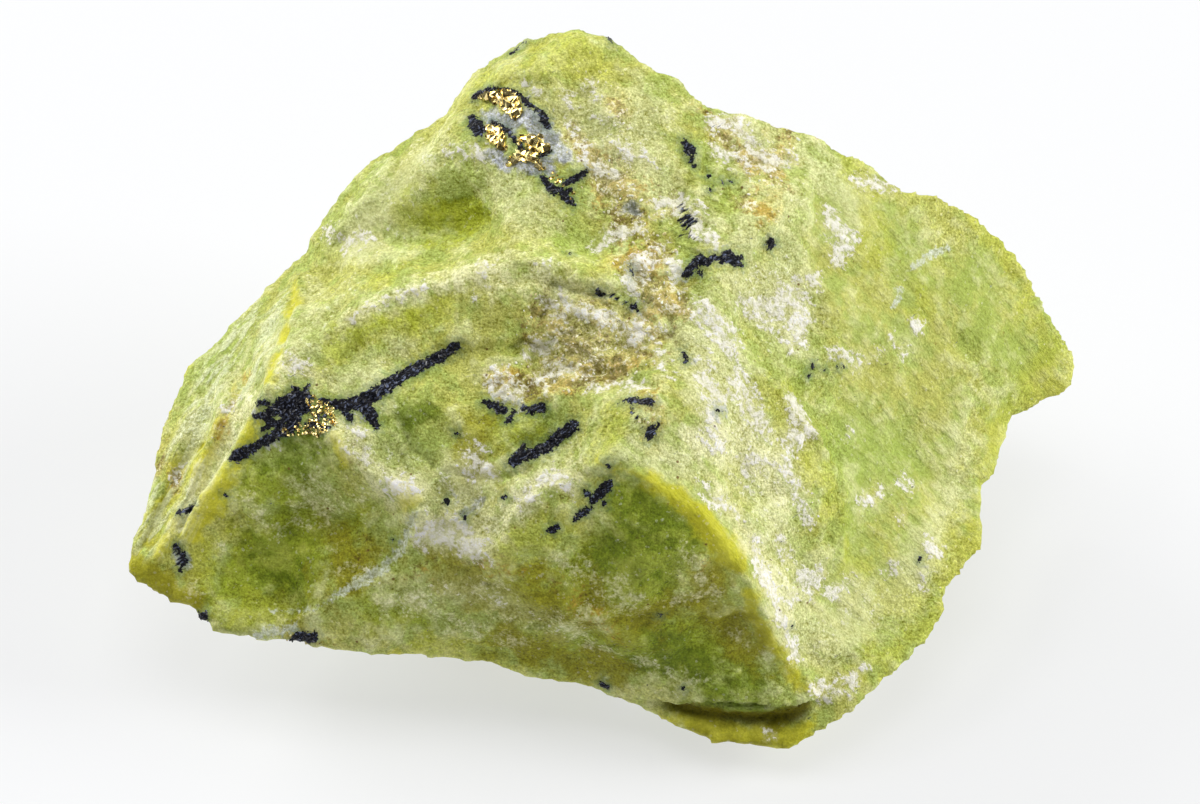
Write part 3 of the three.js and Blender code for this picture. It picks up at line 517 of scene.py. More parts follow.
OLIVE_ZONE = {
    "bowl stain": [(352, 546, 9), (366, 557, 8)],
    "front": [(450, 575, 16), (500, 590, 22), (560, 605, 24), (620, 625, 20), (670, 610, 14)],
    "front low": [(560, 655, 16), (610, 668, 14), (500, 640, 12)],
    "front right": [(705, 575, 12), (735, 630, 14), (750, 650, 12)],
    "bowl": [(350, 545, 14), (365, 560, 14), (335, 575, 8)],
    "left of the bars": [(470, 440, 10), (480, 470, 10)],
    # painted shade on the lip under the ledge
    "lip": [(690, 724, 1), (720, 736, 1), (760, 741, 1), (796, 738, 1)],
    # painted shade on the left tip
    "tip": [(132, 561, 7), (148, 573, 9), (170, 590, 8), (192, 604, 5)],
}
SHADOWED = {  # painted shade in the recess under the ledge
    "recess": [(668, 704, 4), (690, 709, 8), (725, 712, 11), (760, 714, 12), (792, 713, 10), (812, 706, 4)],
}
FROSTED = {  # broad veils of the white crust
    "face": [
        (700, 320, 28), (722, 380, 34), (745, 440, 38), (768, 490, 34), (782, 540, 26), (790, 590, 20),
    ],
    "face top": [(760, 280, 24), (800, 300, 22), (780, 340, 20)],
    "crown right": [(735, 130, 16), (780, 160, 16), (745, 180, 10), (796, 192, 8)],
    "crown": [(590, 150, 16), (620, 190, 20), (590, 110, 16), (630, 120, 18), (660, 160, 14)],
    "pocket": [(560, 320, 26), (610, 340, 34), (650, 300, 26), (560, 370, 24)],
    "middle": [
        (430, 524, 18), (460, 530, 20), (486, 545, 16), (470, 490, 16), (350, 440, 12), (390, 480, 10),
    ],
    "middle front": [(400, 596, 12), (440, 590, 16), (490, 588, 14), (520, 612, 14), (560, 630, 12)],
    "face low": [(840, 590, 20), (870, 610, 16), (930, 550, 14), (820, 640, 16)],
    "upper edge": [(860, 185, 10), (830, 230, 12)],
    "left": [(350, 240, 12), (440, 150, 12), (300, 366, 8)],
}

# Lines along which the stone has a sharper form than its solid: (across, down), in pixels of the view.
CRESTS = {
    "bow": [
        (292, 360), (312, 346), (330, 332), (345, 322), (365, 312), (387, 301), (410, 293), (440, 283),
        (470, 272), (500, 265), (530, 262), (556, 268), (578, 276),
    ],
    "left edge": [
        (284, 370), (268, 392), (252, 420), (237, 455), (218, 482), (200, 506), (180, 528), (162, 548),
    ],
    "bowl's brow": [(330, 430), (346, 446), (362, 462), (380, 479), (400, 488), (418, 502)],
    "middle": [(432, 508), (462, 520), (500, 514), (532, 500), (560, 484), (590, 468), (612, 460)],
    "prow": [
        (612, 461), (640, 475), (680, 499), (703, 516), (718, 538), (741, 566), (756, 600), (772, 638),
        (790, 666), (814, 690),
    ],
    "front": [(462, 556), (500, 548), (540, 540), (572, 528)],
    "crown": [(478, 84), (490, 68), (516, 50), (548, 38)],
}
FILLS = {  # where it is flatter than its solid
    "under the bow": [(480, 292, 2), (515, 286, 4), (550, 286, 5), (585, 292, 5), (620, 300, 3)],
}
GROOVES = {
    "split": [(293, 284), (291, 310), (285, 340)],
    "slab": [(262, 392), (254, 409), (240, 430), (226, 450), (212, 474), (199, 495), (180, 531)],
    "outer slab": [(245, 382), (226, 414), (218, 433), (206, 459), (192, 490), (168, 531), (154, 555)],
    "far slab": [(212, 400), (203, 442), (182, 464), (166, 490), (151, 526), (136, 553)],
    "vein": [(419, 507), (403, 540), (381, 572), (347, 592), (322, 600)],
    "pocket": [(498, 362), (520, 340), (545, 352), (580, 372), (620, 372), (655, 388)],
    "pocket's back": [(556, 284), (590, 296), (630, 290), (668, 318), (676, 350)],
    "middle": [(400, 420), (412, 450), (440, 470), (470, 478), (505, 478), (528, 470)],
}
LEDGE = [  # the overhanging edge low on the front
    (656, 698), (670, 702), (690, 703), (706, 701), (716, 703), (728, 701), (742, 703), (756, 703),
    (770, 706), (784, 705), (798, 705), (814, 699),
]
PLATE_EDGE = [  # where the crusted plate steps down to the right face
    (815, 280), (817, 305), (804, 328), (791, 342), (784, 362), (779, 382), (783, 399), (795, 413),
    (808, 426), (820, 438), (822, 448), (831, 462), (838, 476), (846, 492), (841, 506), (846, 522),
    (840, 541), (843, 562),
]


class Socket:
    """One output of a node. The operators on it add Math nodes to its tree."""

    def __init__(self, graph, output):
        self.graph = graph
        self.output = output

    def _math(self, operation, first, second):
        return self.graph.add("ShaderNodeMath", {"operation": operation}, {0: first, 1: second})

    def __add__(self, other):
        return self._math("ADD", self, other)

    __radd__ = __add__

    def __sub__(self, other):
        return self._math("SUBTRACT", self, other)

    def __rsub__(self, other):
        return self._math("SUBTRACT", other, self)

    def __mul__(self, other):
        return self._math("MULTIPLY", self, other)

    __rmul__ = __mul__

    def __truediv__(self, other):
        return self._math("DIVIDE", self, other)

    def most(self, other):
        return self._math("MAXIMUM", self, other)

    def rise(self, low, high):
        """0 below low and 1 above high, with a soft rise between."""
        return self.graph.add(
            "ShaderNodeMapRange",
            {"interpolation_type": "SMOOTHSTEP"},
            {"Value": self, "From Min": low, "From Max": high},
        )

    def fall(self, low, high):
        """1 below low and 0 above high."""
        return 1 - self.rise(low, high)


class Graph:
    """A node tree that is written as expressions."""

    def __init__(self, tree):
        self.tree = tree

    def add(self, kind, settings=None, inputs=None, output=0):
        """Adds one node, sets it up, joins or fills its inputs and gives one of its outputs."""
        node = self.tree.nodes.new(kind)
        for name, value in (settings or {}).items():
            setattr(node, name, value)
        self.fill(node, inputs or {})
        return Socket(self, node.outputs[output])

    def fill(self, node, inputs):
        """Joins sockets to a node's inputs and sets plain values on the others."""
        for key, value in inputs.items():
            if isinstance(value, Socket):
                self.tree.links.new(value.output, node.inputs[key])
            else:
                node.inputs[key].default_value = value

    def vectors(self, operation, first, second, output=0):
        """Vector Math on two vectors."""
        return self.add("ShaderNodeVectorMath", {"operation": operation}, {0: first, 1: second}, output)

    def noise(self, place, size, detail=2.0, roughness=0.5):
        """Even noise about 0.5, with features of that size in metres."""
        inputs = {"Vector": place, "Scale": 1 / size, "Detail": detail, "Roughness": roughness}
        return self.add("ShaderNodeTexNoise", None, inputs)

    def parts(self, colour):
        """The three numbers of a colour."""
        node = self.add("ShaderNodeSeparateXYZ", None, {0: colour}).output.node
        return [Socket(self, output) for output in node.outputs]

    def cells(self, place, size, feature="F1", output=0):
        """Cells of that size in metres: the distance to their middles, their colour or their place."""
        inputs = {"Vector": place, "Scale": 1 / size}
        return self.add("ShaderNodeTexVoronoi", {"feature": feature}, inputs, output)

    def mix(self, share, first, second, blend="MIX"):
        """A colour between two colours."""
        return self.add(
            "ShaderNodeMix",
            {"data_type": "RGBA", "blend_type": blend, "clamp_factor": True},
            {0: share, 6: first, 7: second},
            2,
        )


def line_of_sight(across, down):
    """The eye and the direction of the line of sight through one pixel of the view."""
    back = Vector((0, -math.cos(VIEW_RISE), math.sin(VIEW_RISE)))
    up = Vector((0, math.sin(VIEW_RISE), math.cos(VIEW_RISE)))
    focal = LENS / SENSOR_WIDTH * FRAME_WIDTH
    aside = Vector((1, 0, 0)) * (across - FRAME_WIDTH / 2) / focal
    above = up * (FRAME_HEIGHT / 2 - down) / focal
    return VIEW_TARGET + back * VIEW_DISTANCE, (aside + above - back).normalized()


def on_stone(tree, across, down):
    """The place on the stone that a pixel shows, or the nearest place if it misses the stone."""
    eye, direction = line_of_sight(across, down)
    place = tree.ray_cast(eye, direction)[0]
    return place or tree.find_nearest(eye + direction * VIEW_DISTANCE)[0]


def pixels_of(places):
    """Where the view shows each place, in pixels."""
    across, up = np.array((1, 0, 0)), np.array((0, math.sin(VIEW_RISE), math.cos(VIEW_RISE)))
    forward = np.array((0, math.cos(VIEW_RISE), -math.sin(VIEW_RISE)))
    offset = places - np.array(VIEW_TARGET) / MM
    focal = LENS / SENSOR_WIDTH * FRAME_WIDTH / (VIEW_DISTANCE / MM + offset @ forward)
    return np.stack((FRAME_WIDTH / 2 + offset @ across * focal, FRAME_HEIGHT / 2 - offset @ up * focal), 1)


def left_of(line, places):
    """True where the view shows a place on the left of a line that runs down the view."""
    pixels = pixels_of(places)
    downs = [down for _, down in line]
    return pixels[:, 0] < np.interp(pixels[:, 1], downs, [across for across, _ in line])


def under(line, places):
    """True where the view shows a place below a line that runs across the view."""
    pixels = pixels_of(places)
    acrosses = [across for across, _ in line]
    return pixels[:, 1] > np.interp(pixels[:, 0], acrosses, [down for _, down in line])


def laid_strokes(tree, strokes):
    """The strokes as runs of places on the stone with their half widths, in millimetres."""
    runs = []
    for stroke in strokes.values():
        run = []
        for start, end in zip(stroke, stroke[1:] or stroke):
            stretch = max(abs(end[0] - start[0]), abs(end[1] - start[1]))
            steps = max(1, round(stretch / 4))
            for step in range(steps + 1):
                across, down, *half = (a + (b - a) * step / steps for a, b in zip(start, end))
                place = on_stone(tree, across, down)
                run.append((*(place / MM), (half[0] if half else 0) * PIXEL / MM))
        runs.append(np.array(run))
    return runs


def distance_to(runs, places):
    """Millimetres from each place to the edge of the nearest stroke, below zero inside it."""
    nearest = np.full(len(places), FAR)
    for run in runs:
        low = run[:, :3].min(0) - run[:, 3].max() - FAR
        high = run[:, :3].max(0) + run[:, 3].max() + FAR
        close = np.flatnonzero(((places > low) & (places < high)).all(1))
        if not len(close):
            continue
        found = np.full(len(close), FAR)
        for start, end in zip(run, run[1:] if len(run) > 1 else run):
            along = end[:3] - start[:3]
            offset = places[close] - start[:3]
            share = np.clip(offset @ along / max(along @ along, 1e-9), 0, 1)
            reach = np.linalg.norm(offset - share[:, None] * along, axis=1)
            found = np.minimum(found, reach - start[3] - share * (end[3] - start[3]))
        nearest[close] = np.minimum(nearest[close], found)
    return nearest


def places_of(mesh):
    """The mesh's corners in millimetres."""
    flat = np.empty(len(mesh.vertices) * 3)
    mesh.vertices.foreach_get("co", flat)
    return flat.reshape(-1, 3) / MM


def keep_on(mesh, name, values):
    """Keeps one number for each corner of the mesh under a name."""
    attribute = mesh.attributes.new(name, "FLOAT", "POINT")
    attribute.data.foreach_set("value", values.astype(np.float32))


def evaluated(piece):
    """A plain mesh of the piece with its modifiers applied."""
    mesh = bpy.data.meshes.new_from_object(piece.evaluated_get(bpy.context.evaluated_depsgraph_get()))
    piece.modifiers.clear()
    return mesh


def new_piece(name, mesh):
    """An object of that name at the origin, in the scene."""
    piece = bpy.data.objects.new(name, mesh)
    bpy.context.scene.collection.objects.link(piece)
    return piece


def even_skin(node):
    """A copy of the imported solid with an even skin, its facets and crests worn round."""
    shape = bmesh.new()
    shape.from_mesh(node.data)
    bmesh.ops.remove_doubles(shape, verts=shape.verts, dist=0.001 * MM)
    mesh = bpy.data.meshes.new("stone copy")
    shape.to_mesh(mesh)
    shape.free()
    piece = new_piece("stone copy", mesh)
    remesh = piece.modifiers.new("even", "REMESH")
    remesh.mode = "VOXEL"
    remesh.voxel_size = SKIN_STEP
    wear = piece.modifiers.new("wear", "SMOOTH")
    wear.factor = 0.5
    wear.iterations = WEAR_ROUNDS
    skin = evaluated(piece)
    bpy.data.objects.remove(piece)
    return skin


def refine(mesh, distance):
    """Halves the edges of the faces that lie close to a fine mark or a crest."""
    shape = bmesh.new()
    shape.from_mesh(mesh)
    shape.verts.ensure_lookup_table()
    near = distance < FINE_BAND
    edges = [e for e in shape.edges if near[e.verts[0].index] and near[e.verts[1].index]]
    bmesh.ops.subdivide_edges(shape, edges=edges, cuts=1, use_grid_fill=True)
    bmesh.ops.triangulate(shape, faces=[f for f in shape.faces if len(f.verts) > 4])
    shape.to_mesh(mesh)
    shape.free()


def cusp(distance, width):
    """1 on a line, falling in a hollow curve to 0 at that distance, so the line is sharp."""
    return np.clip(1 - distance / width, 0, 1) ** 2


def crest_height(mesh):
    """How far each corner stands over the smoothed skin, in millimetres."""
    places = places_of(mesh)
    pairs = np.empty(len(mesh.edges) * 2, np.int32)
    mesh.edges.foreach_get("vertices", pairs)
    one, other = pairs.reshape(-1, 2).T
    count = np.bincount(np.concatenate((one, other)), minlength=len(places))[:, None]
    soft = places.copy()
    for _ in range(CREST_REACH):
        total = np.stack(
            [
                np.bincount(one, soft[other, k], len(places)) + np.bincount(other, soft[one, k], len(places))
                for k in range(3)
            ],
            axis=1,
        )
        soft = 0.4 * soft + 0.6 * total / count
    normals = np.empty(len(mesh.vertices) * 3)
    mesh.vertex_normals.foreach_get("vector", normals)
    return ((places - soft) * normals.reshape(-1, 3)).sum(1)


# The relief, as (size of the features, depth), all in millimetres.
SWELL = (6, 0.26)
CHIP = (3.6, 0.09)  # flat chips: their size and the slope they lie at
FLAKE = (1.3, 0.13)
DIMPLE = (1.6, 0.14)
GRAIN = (0.8, 0.13)
UNEVEN_LUMP = (1.7, 0.26)
ROUGH_LUMP = (1.9, 0.36)
ROUGH_CRUMB = (0.7, 0.42)
CRUST_LIFT = 0.04
MARK_LIFT = 0.07
FIBRE = (0.9, 0.2)
CREST_RISE, CREST_WIDTH = 0.22, 1.7
GROOVE_DEPTH, GROOVE_WIDTH = 0.32, 0.8
LEDGE_DEPTH, LEDGE_WIDTH = 0.9, 1.5
PLATE_RISE, PLATE_WIDTH = 0.28, 3.0
SHARPEN, SHARPEN_MOST = 0.3, 0.35  # the share of a crest's height that the wear took off and gets back
REGAIN = 0.06  # what the wear took off all over
FILL_RISE, FILL_WIDTH = 0.5, 1.8
SPOT_SHELTER = (0.1, 0.9)  # heights over the floor between which the relief sets in
GRAIN_SHELTER = 0.6  # and the height below which no grains lie
BROW_LIFT = 3  # pixels over the ledge's line at which its shade begins
SUGAR_REACH, LEAF_FRINGE, INK_FRINGE = 1.2, 0.2, 0.15  # millimetres over which the grains thin out
LOOSE_SHARE = 0.2  # of the flakes, those that lie beside the leaves

LEAF_COUNT = 5  # the first strokes of the gold are leaves, the others grains
FOIL_EDGE, FOIL_LIFT, FOIL_CRUMPLE, FOIL_WALL = 0.13, 0.05, 0.34, 0.25  # the gold leaves
FOIL_SEED = 1

FACE_RUN = Vector((0.62, -0.20, -0.76))  # the way that the fibres run on the long right face
SLAB_RUN = Vector((-0.45, -0.55, -0.70))  # and on the slabs of the left end
HATCH_RUN = Vector((0.8, 0.55, 0.1))  # and the streaks on the black mineral


def along(graph, place, run, stretch):
    """Coordinates in which a texture is drawn out along a direction."""
    turn = run.to_track_quat("X", "Z").to_euler()
    turned = graph.add(
        "ShaderNodeVectorRotate",
        {"rotation_type": "EULER_XYZ", "invert": True},
        {"Vector": place, "Rotation": turn},
    )
    return graph.vectors("MULTIPLY", turned, (1 / stretch, 1, 1))


HALVES = (0.5, 0.5, 0.5)  # the middle of a texture's range


def warped(graph, place, size, reach):
    """Coordinates that wander, so a pattern of cells loses its straight sides."""
    sway = graph.add("ShaderNodeTexNoise", None, {"Vector": place, "Scale": 1 / size, "Detail": 2.0}, 1)
    sway = graph.vectors("SUBTRACT", sway, HALVES)
    sway = graph.add("ShaderNodeVectorMath", {"operation": "SCALE"}, {0: sway, "Scale": reach})
    return graph.vectors("ADD", place, sway)


def strewn(share, grain, softness=0.12):
    """Where a mineral shows if it covers that share of the stone, broken up by the grain."""
    return ((grain - 0.5) * 2.2 + share - 0.5).rise(-softness, softness)


def crust_cover(graph, place, crust, frosted):
    """The white crust: where its cream ground lies, and where its white grains stand."""
    streaks = graph.noise(along(graph, place, FACE_RUN, 2.4), 0.8 * MM, 5, 0.65)
    crumbs = graph.noise(place, 0.42 * MM, 4, 0.65)
    grit = graph.parts(graph.cells(place, 0.19 * MM, output=1))[0]
    ground = (crust - (streaks - 0.5) * 3.2 - (crumbs - 0.5) * 2.2).fall(-0.5, 0.6)
    share = (ground * 0.6).most(frosted.fall(-1.6, 1.8) * 0.22 + 0.02)
    return ground, strewn(share, streaks * 0.55 + crumbs * 0.45 + (grit - 0.5) * 0.12, 0.2)


def relief_tree(material):
    """The nodes that roughen the skin: swells, chips and grain all over, crumbs where it is rough."""
    tree = bpy.data.node_groups.new("relief", "GeometryNodeTree")
    graph = Graph(tree)
    tree.interface.new_socket("Geometry", in_out="INPUT", socket_type="NodeSocketGeometry")
    tree.interface.new_socket("Depth", in_out="INPUT", socket_type="NodeSocketFloat")
    tree.interface.new_socket("Geometry", in_out="OUTPUT", socket_type="NodeSocketGeometry")
    given = tree.nodes.new("NodeGroupInput")
    skin, depth = Socket(graph, given.outputs[0]), Socket(graph, given.outputs[1])
    place = graph.add("GeometryNodeInputPosition")
    normal = graph.add("GeometryNodeInputNormal")

    def mark(name):
        return graph.add("GeometryNodeInputNamedAttribute", {"data_type": "FLOAT"}, {"Name": name})

    def swing(size, height, where=place, detail=2.0):
        return (graph.noise(where, size * MM, detail) - 0.5) * (2 * height)

    def chips(size, slope):
        """Flat chips that lie at their own slopes and meet in creases."""
        at = warped(graph, place, 2.5 * MM, 2 * MM)
        middle = graph.cells(at, size * MM, output=2)
        lean = graph.vectors("SUBTRACT", graph.cells(at, size * MM, output=1), HALVES)
        rise = graph.vectors("DOT_PRODUCT", lean, graph.vectors("SUBTRACT", at, middle), 1)
        edge = graph.cells(at, size * MM, "DISTANCE_TO_EDGE").rise(0.0, 0.12)
        return rise * edge * (2 * slope / MM)

    rough = mark("rough").fall(-1.2, 0.8)
    slabs = mark("slabs").fall(-0.8, 0.8)
    plain = 1 - mark("even").fall(-1.5, 1.5) * 0.6
    height = swing(*SWELL) + (chips(*CHIP) + chips(*FLAKE)) * (1 - slabs) + swing(*DIMPLE, detail=4)
    uneven = mark("uneven").fall(-1.5, 1.5)
    height = height * plain + swing(*GRAIN, detail=3) + swing(*UNEVEN_LUMP, detail=5) * uneven
    height = height + (swing(*ROUGH_LUMP, detail=4) + swing(*ROUGH_CRUMB, detail=3)) * rough
    height = height + swing(*FIBRE, where=along(graph, place, SLAB_RUN, 18), detail=3) * slabs
    ground, grains = crust_cover(graph, place, mark("crust"), mark("frosted"))
    height = height + (ground * 0.4 + grains * 0.6) * CRUST_LIFT
    height = height + mark("black").fall(-0.12, 0.06) * MARK_LIFT
    kept = graph.add(
        "GeometryNodeStoreNamedAttribute", {"data_type": "FLOAT", "domain": "POINT"},
        {"Geometry": skin, "Name": "relief", "Value": height},
    )
    level = graph.add("ShaderNodeSeparateXYZ", None, {0: place}, 2)
    height = (height + mark("form")) * level.rise(*(h * MM for h in SPOT_SHELTER)) * depth
    offset = graph.add("ShaderNodeVectorMath", {"operation": "SCALE"}, {0: normal, "Scale": height * MM})
    moved = graph.add("GeometryNodeSetPosition", None, {"Geometry": kept, "Offset": offset})
    whole = graph.add("GeometryNodeRealizeInstances", None, {"Geometry": moved})
    done = graph.add("GeometryNodeSetMaterial", None, {"Geometry": whole, "Material": material})
    tree.links.new(done.output, tree.nodes.new("NodeGroupOutput").inputs[0])
    return tree


def run_tree(piece, tree, **values):
    """Runs a node tree on the piece, with values for its named inputs, and gives the plain mesh."""
    modifier = piece.modifiers.new(tree.name, "NODES")
    modifier.node_group = tree
    for item in tree.interface.items_tree:
        if item.item_type == "SOCKET" and item.in_out == "INPUT" and item.name in values:
            modifier[item.identifier] = values[item.name]
    return evaluated(piece)


# Colours, linear.
LEAF = (0.45, 0.54, 0.11, 1)
YELLOW_GREEN = (0.57, 0.58, 0.12, 1)
PALE_GREEN = (0.78, 0.79, 0.39, 1)
SLAB_PALE = (0.80, 0.83, 0.52, 1)
BLEACHED_WAX = (1.0, 0.97, 0.56, 1)
FRESH_GREEN = (0.36, 0.48, 0.07, 1)
DEEP_GREEN = (0.17, 0.24, 0.010, 1)
VIVID_GREEN = (0.37, 0.45, 0.02, 1)
OLIVE = (0.36, 0.34, 0.02, 1)
WAX_YELLOW = (0.64, 0.61, 0.028, 1)
LIME = (0.59, 0.61, 0.05, 1)
WHITE = (0.98, 0.95, 0.82, 1)
CREAM = (0.88, 0.84, 0.54, 1)
SUGAR = (0.98, 0.94, 0.70, 1)
BUFF = (0.66, 0.54, 0.10, 1)
OCHRE_BROWN = (0.52, 0.34, 0.04, 1)
RUST_BROWN = (0.18, 0.10, 0.02, 1)
STONE_GREY = (0.31, 0.33, 0.35, 1)
SILVER_GREY = (0.66, 0.68, 0.68, 1)
VEIN_GREY = (0.62, 0.66, 0.48, 1)
PAINTED_RECESS_SHADE = (0.17, 0.15, 0.002, 1)
CRUMB_YELLOW = (0.72, 0.66, 0.30, 1)
INK = (0.004, 0.004, 0.008, 1)
INK_SHEEN = (0.17, 0.20, 0.31, 1)
INK_HALO = (0.12, 0.21, 0.10, 1)
GOLD_METAL = (1.0, 0.83, 0.36, 1)
GOLD_SHADE = (0.50, 0.30, 0.05, 1)


def new_material(name):
    """A material of that name, its tree and its surface."""
    material = bpy.data.materials.new(name)
    material.use_nodes = True
    return material, Graph(material.node_tree), material.node_tree.nodes["Principled BSDF"]


def serpentine_material():
    """The stone's own colours, the minerals on it, and its fine grain."""
    material, graph, surface = new_material("waxy serpentine")
    place = graph.add("ShaderNodeTexCoord", None, None, 3)

    def mark(name):
        return graph.add("ShaderNodeAttribute", {"attribute_name": name}, None, 2)

    broad = graph.noise(place, 7 * MM, 3)
    blotch = graph.noise(place, 2.0 * MM, 4, 0.6)
    clumps = graph.noise(place, 1.1 * MM, 3, 0.6)
    streaky = graph.noise(along(graph, place, FACE_RUN, 3), 0.9 * MM, 5, 0.62)
    crumbs = graph.noise(place, 0.42 * MM, 4, 0.65)
    sugar = graph.noise(place, 0.16 * MM, 2)
    slab_lines = graph.noise(along(graph, place, SLAB_RUN, 18), 0.6 * MM, 3)
    grit, tone, spark = graph.parts(graph.cells(place, 0.19 * MM, output=1))
    dot = graph.parts(graph.cells(place, 0.7 * MM, output=1))[0]
    pepper = (dot + mark("black").fall(0.3, 5) * 0.06).rise(0.985, 0.99)
    pepper = pepper * graph.cells(place, 0.7 * MM).fall(0.10, 0.2)
    relief, crest = mark("relief"), mark("crest")

    def soft(name, spread, inner, outer, grain=blotch):
        """A tint that is full inside its strokes and fades out unevenly beside them."""
        return (mark(name) - (grain - 0.5) * spread).fall(-inner, outer)

    def tint(share, colour, over):
        return graph.mix(share, over, colour)

    slabs, mottled = mark("slabs").fall(-0.8, 0.8), (mark("mottled") - (blotch - 0.5) * 6).fall(-1.0, 0.8)
    high = relief.rise(-0.22, 0.28)
    mottle = broad * 0.35 + blotch * 0.4 + streaky * 0.25
    colour = graph.mix(mottle.rise(0.44, 0.56), LEAF, YELLOW_GREEN)
    colour = tint(soft("fresh", 9, 0.6, 1.8) * 0.75, FRESH_GREEN, colour)
    veil = (streaky * 0.4 + clumps * 0.35 + high * 0.25).rise(0.44, 0.62)
    vivid = soft("vivid", 8, 0.8, 1.2)
    colour = tint(vivid * 0.85, VIVID_GREEN, colour)
    film = graph.mix(vivid, PALE_GREEN, YELLOW_GREEN)
    colour = tint(veil * (0.52 - vivid * 0.14) + (1 - vivid) * 0.06, film, colour)
    colour = tint(soft("deep", 9, 0.6, 1.6) * (0.85 - veil * 0.35), DEEP_GREEN, colour)
    colour = tint(soft("pale", 8, 0.8, 1.8, streaky) * 0.6, PALE_GREEN, colour)
    colour = tint(soft("yellowed", 8, 0.2, 1.6) * 0.45, LIME, colour)
    edges = (crest - (blotch - 0.5) * 2).rise(0.25, 0.7) * mark("hidden")
    waxy = soft("waxy", 3, 0.25, 0.6).most(edges * 0.8)
    colour = tint(waxy * 0.88, WAX_YELLOW, colour)
    colour = tint(soft("olive", 9, 0.6, 1.8) * (0.9 - veil * 0.4), OLIVE, colour)
    colour = tint(slabs * slab_lines.rise(0.42, 0.56) * 0.6, SLAB_PALE, colour)
    colour = tint(soft("bleached", 4, 0.3, 1.2, streaky) * (0.48 + high * 0.2), BLEACHED_WAX, colour)
    broken = crumbs * 0.45 + clumps * 0.55
    colour = tint(mottled * 0.6, BUFF, colour)
    stained = mark("ochre").fall(-1.2, 1.2) * 0.42 + mottled * 0.36
    stained = strewn(stained, 1 - broken + (tone - 0.5) * 0.14, 0.2)
    brown = graph.mix((crumbs * 0.5 + grit * 0.12 + high * 0.38).rise(0.36, 0.56), RUST_BROWN, OCHRE_BROWN)
    colour = tint(stained * (0.55 + grit * 0.4), brown, colour)
    grey = (mark("grey") - (clumps - 0.5) * 2).fall(-0.2, 0.3)
    smoke = graph.mix((streaky * 0.7 + crumbs * 0.3).rise(0.44, 0.56), STONE_GREY, SILVER_GREY)
    colour = tint(grey * 0.95, smoke, colour)
    vein = (mark("vein") - (crumbs - 0.5) * 1.5).fall(-0.15, 0.2)
    colour = tint(vein * (0.68 + crumbs.rise(0.4, 0.6) * 0.27), VEIN_GREY, colour)
    granules = crumbs * 0.35 + clumps * 0.6 + (grit - 0.5) * 0.12 + 0.025
    frost = strewn(mark("frost").fall(-1.2, 1.4) * 0.5, granules, 0.2)
    colour = tint(frost * (0.25 + tone * 0.35), CREAM, colour)
    ground, crust = crust_cover(graph, place, mark("crust"), mark("frosted"))
    colour = tint(mark("frosted").fall(-1.8, 1.8) * 0.3, PALE_GREEN, colour)
    colour = tint(ground * 0.42, CREAM, colour)
    colour = tint(crust * (0.58 + crumbs.rise(0.38, 0.6) * 0.4), WHITE, colour)
    sugared = strewn(mottled * 0.35, streaky * 0.35 + crumbs * 0.3 + clumps * 0.35 + (grit - 0.5) * 0.14, 0.1)
    colour = tint(sugared * (0.65 + tone * 0.35), SUGAR, colour)
    glints = spark.rise(0.96, 0.98) * blotch.rise(0.42, 0.6)
    colour = tint(glints * 0.2, WHITE, colour)
    # painted shade in the recess under the ledge, cut off at the ledge's line
    colour = tint(mark("shadowed").fall(-0.4, 0.4) * 0.97, PAINTED_RECESS_SHADE, colour)
    even = mark("even").fall(-1.5, 1.5)
    coated = (waxy * 0.5).most(crust * 0.8).most(ground * 0.7).most(sugared * 0.6)
    plain = (1 - coated) * (1 - veil * 0.25) * (1 - even * 0.5)
    shade = ((grit - 0.5) * 0.31 + (sugar - 0.5) * 1.45 + (crumbs - 0.5) * 1.12) * plain
    # painted shade: the relief's hollows a little darker and its tops lighter
    shade = shade + (high - 0.5) * 0.2 + 1
    depth = graph.add("ShaderNodeCombineColor", None, {0: shade, 1: shade, 2: (shade * 1.6 - 0.6).most(0.1)})
    colour = graph.mix(1.0, colour, depth, "MULTIPLY")
    colour = tint(pepper * 0.9, RUST_BROWN, colour)
    halo = (mark("black") - (crumbs - 0.5) * 2.5).fall(-0.1, 0.7)
    colour = tint(halo * 0.5, INK_HALO, colour)
    ragged = (grit - 0.5) * 0.16 + (crumbs - 0.5) * 0.8
    black = (mark("black") - ragged).fall(-0.02, 0.04)
    lines = graph.noise(along(graph, place, HATCH_RUN, 5), 0.3 * MM, 2)
    threads = strewn(mark("inky").fall(-0.6, 0.4) * 0.55, lines * 0.8 + sugar * 0.2)
    black = black.most(threads)
    # painted sheen: silver streaks and glints on the black mineral
    hatch = graph.noise(along(graph, place, HATCH_RUN, 6), 0.13 * MM, 2).rise(0.58, 0.63)
    colour = tint(black, graph.mix((hatch * 0.6).most(spark.rise(0.965, 0.98)), INK, INK_SHEEN), colour)

    roughness = 0.5 - black * 0.2 + crust * 0.15 - glints * 0.2 + (grit - 0.5) * 0.2 + (sugar - 0.5) * 0.4
    grains = graph.cells(place, 0.19 * MM) * (1 + black * 2.5)
    height = (crumbs - 0.5) * (0.26 * MM) + (sugar - 0.5) * (0.05 * MM) - grains * (0.022 * MM)
    height = height * (1 - waxy * 0.5) * (1 - even * 0.35) + (streaky - 0.5) * even * (0.45 * MM)
    height = height + slabs * slab_lines * (0.3 * MM) + crust * (0.03 * MM)
    bump = graph.add("ShaderNodeBump", None, {"Height": height, "Distance": 1.0, "Strength": 1.0})
    graph.fill(surface, {
        "Base Color": colour, "Roughness": roughness, "Normal": bump, "Specular IOR Level": 0.17,
        "Subsurface Weight": 0.12, "Subsurface Radius": (1.0, 0.95, 0.25), "Subsurface Scale": 0.7 * MM,
    })
    return material


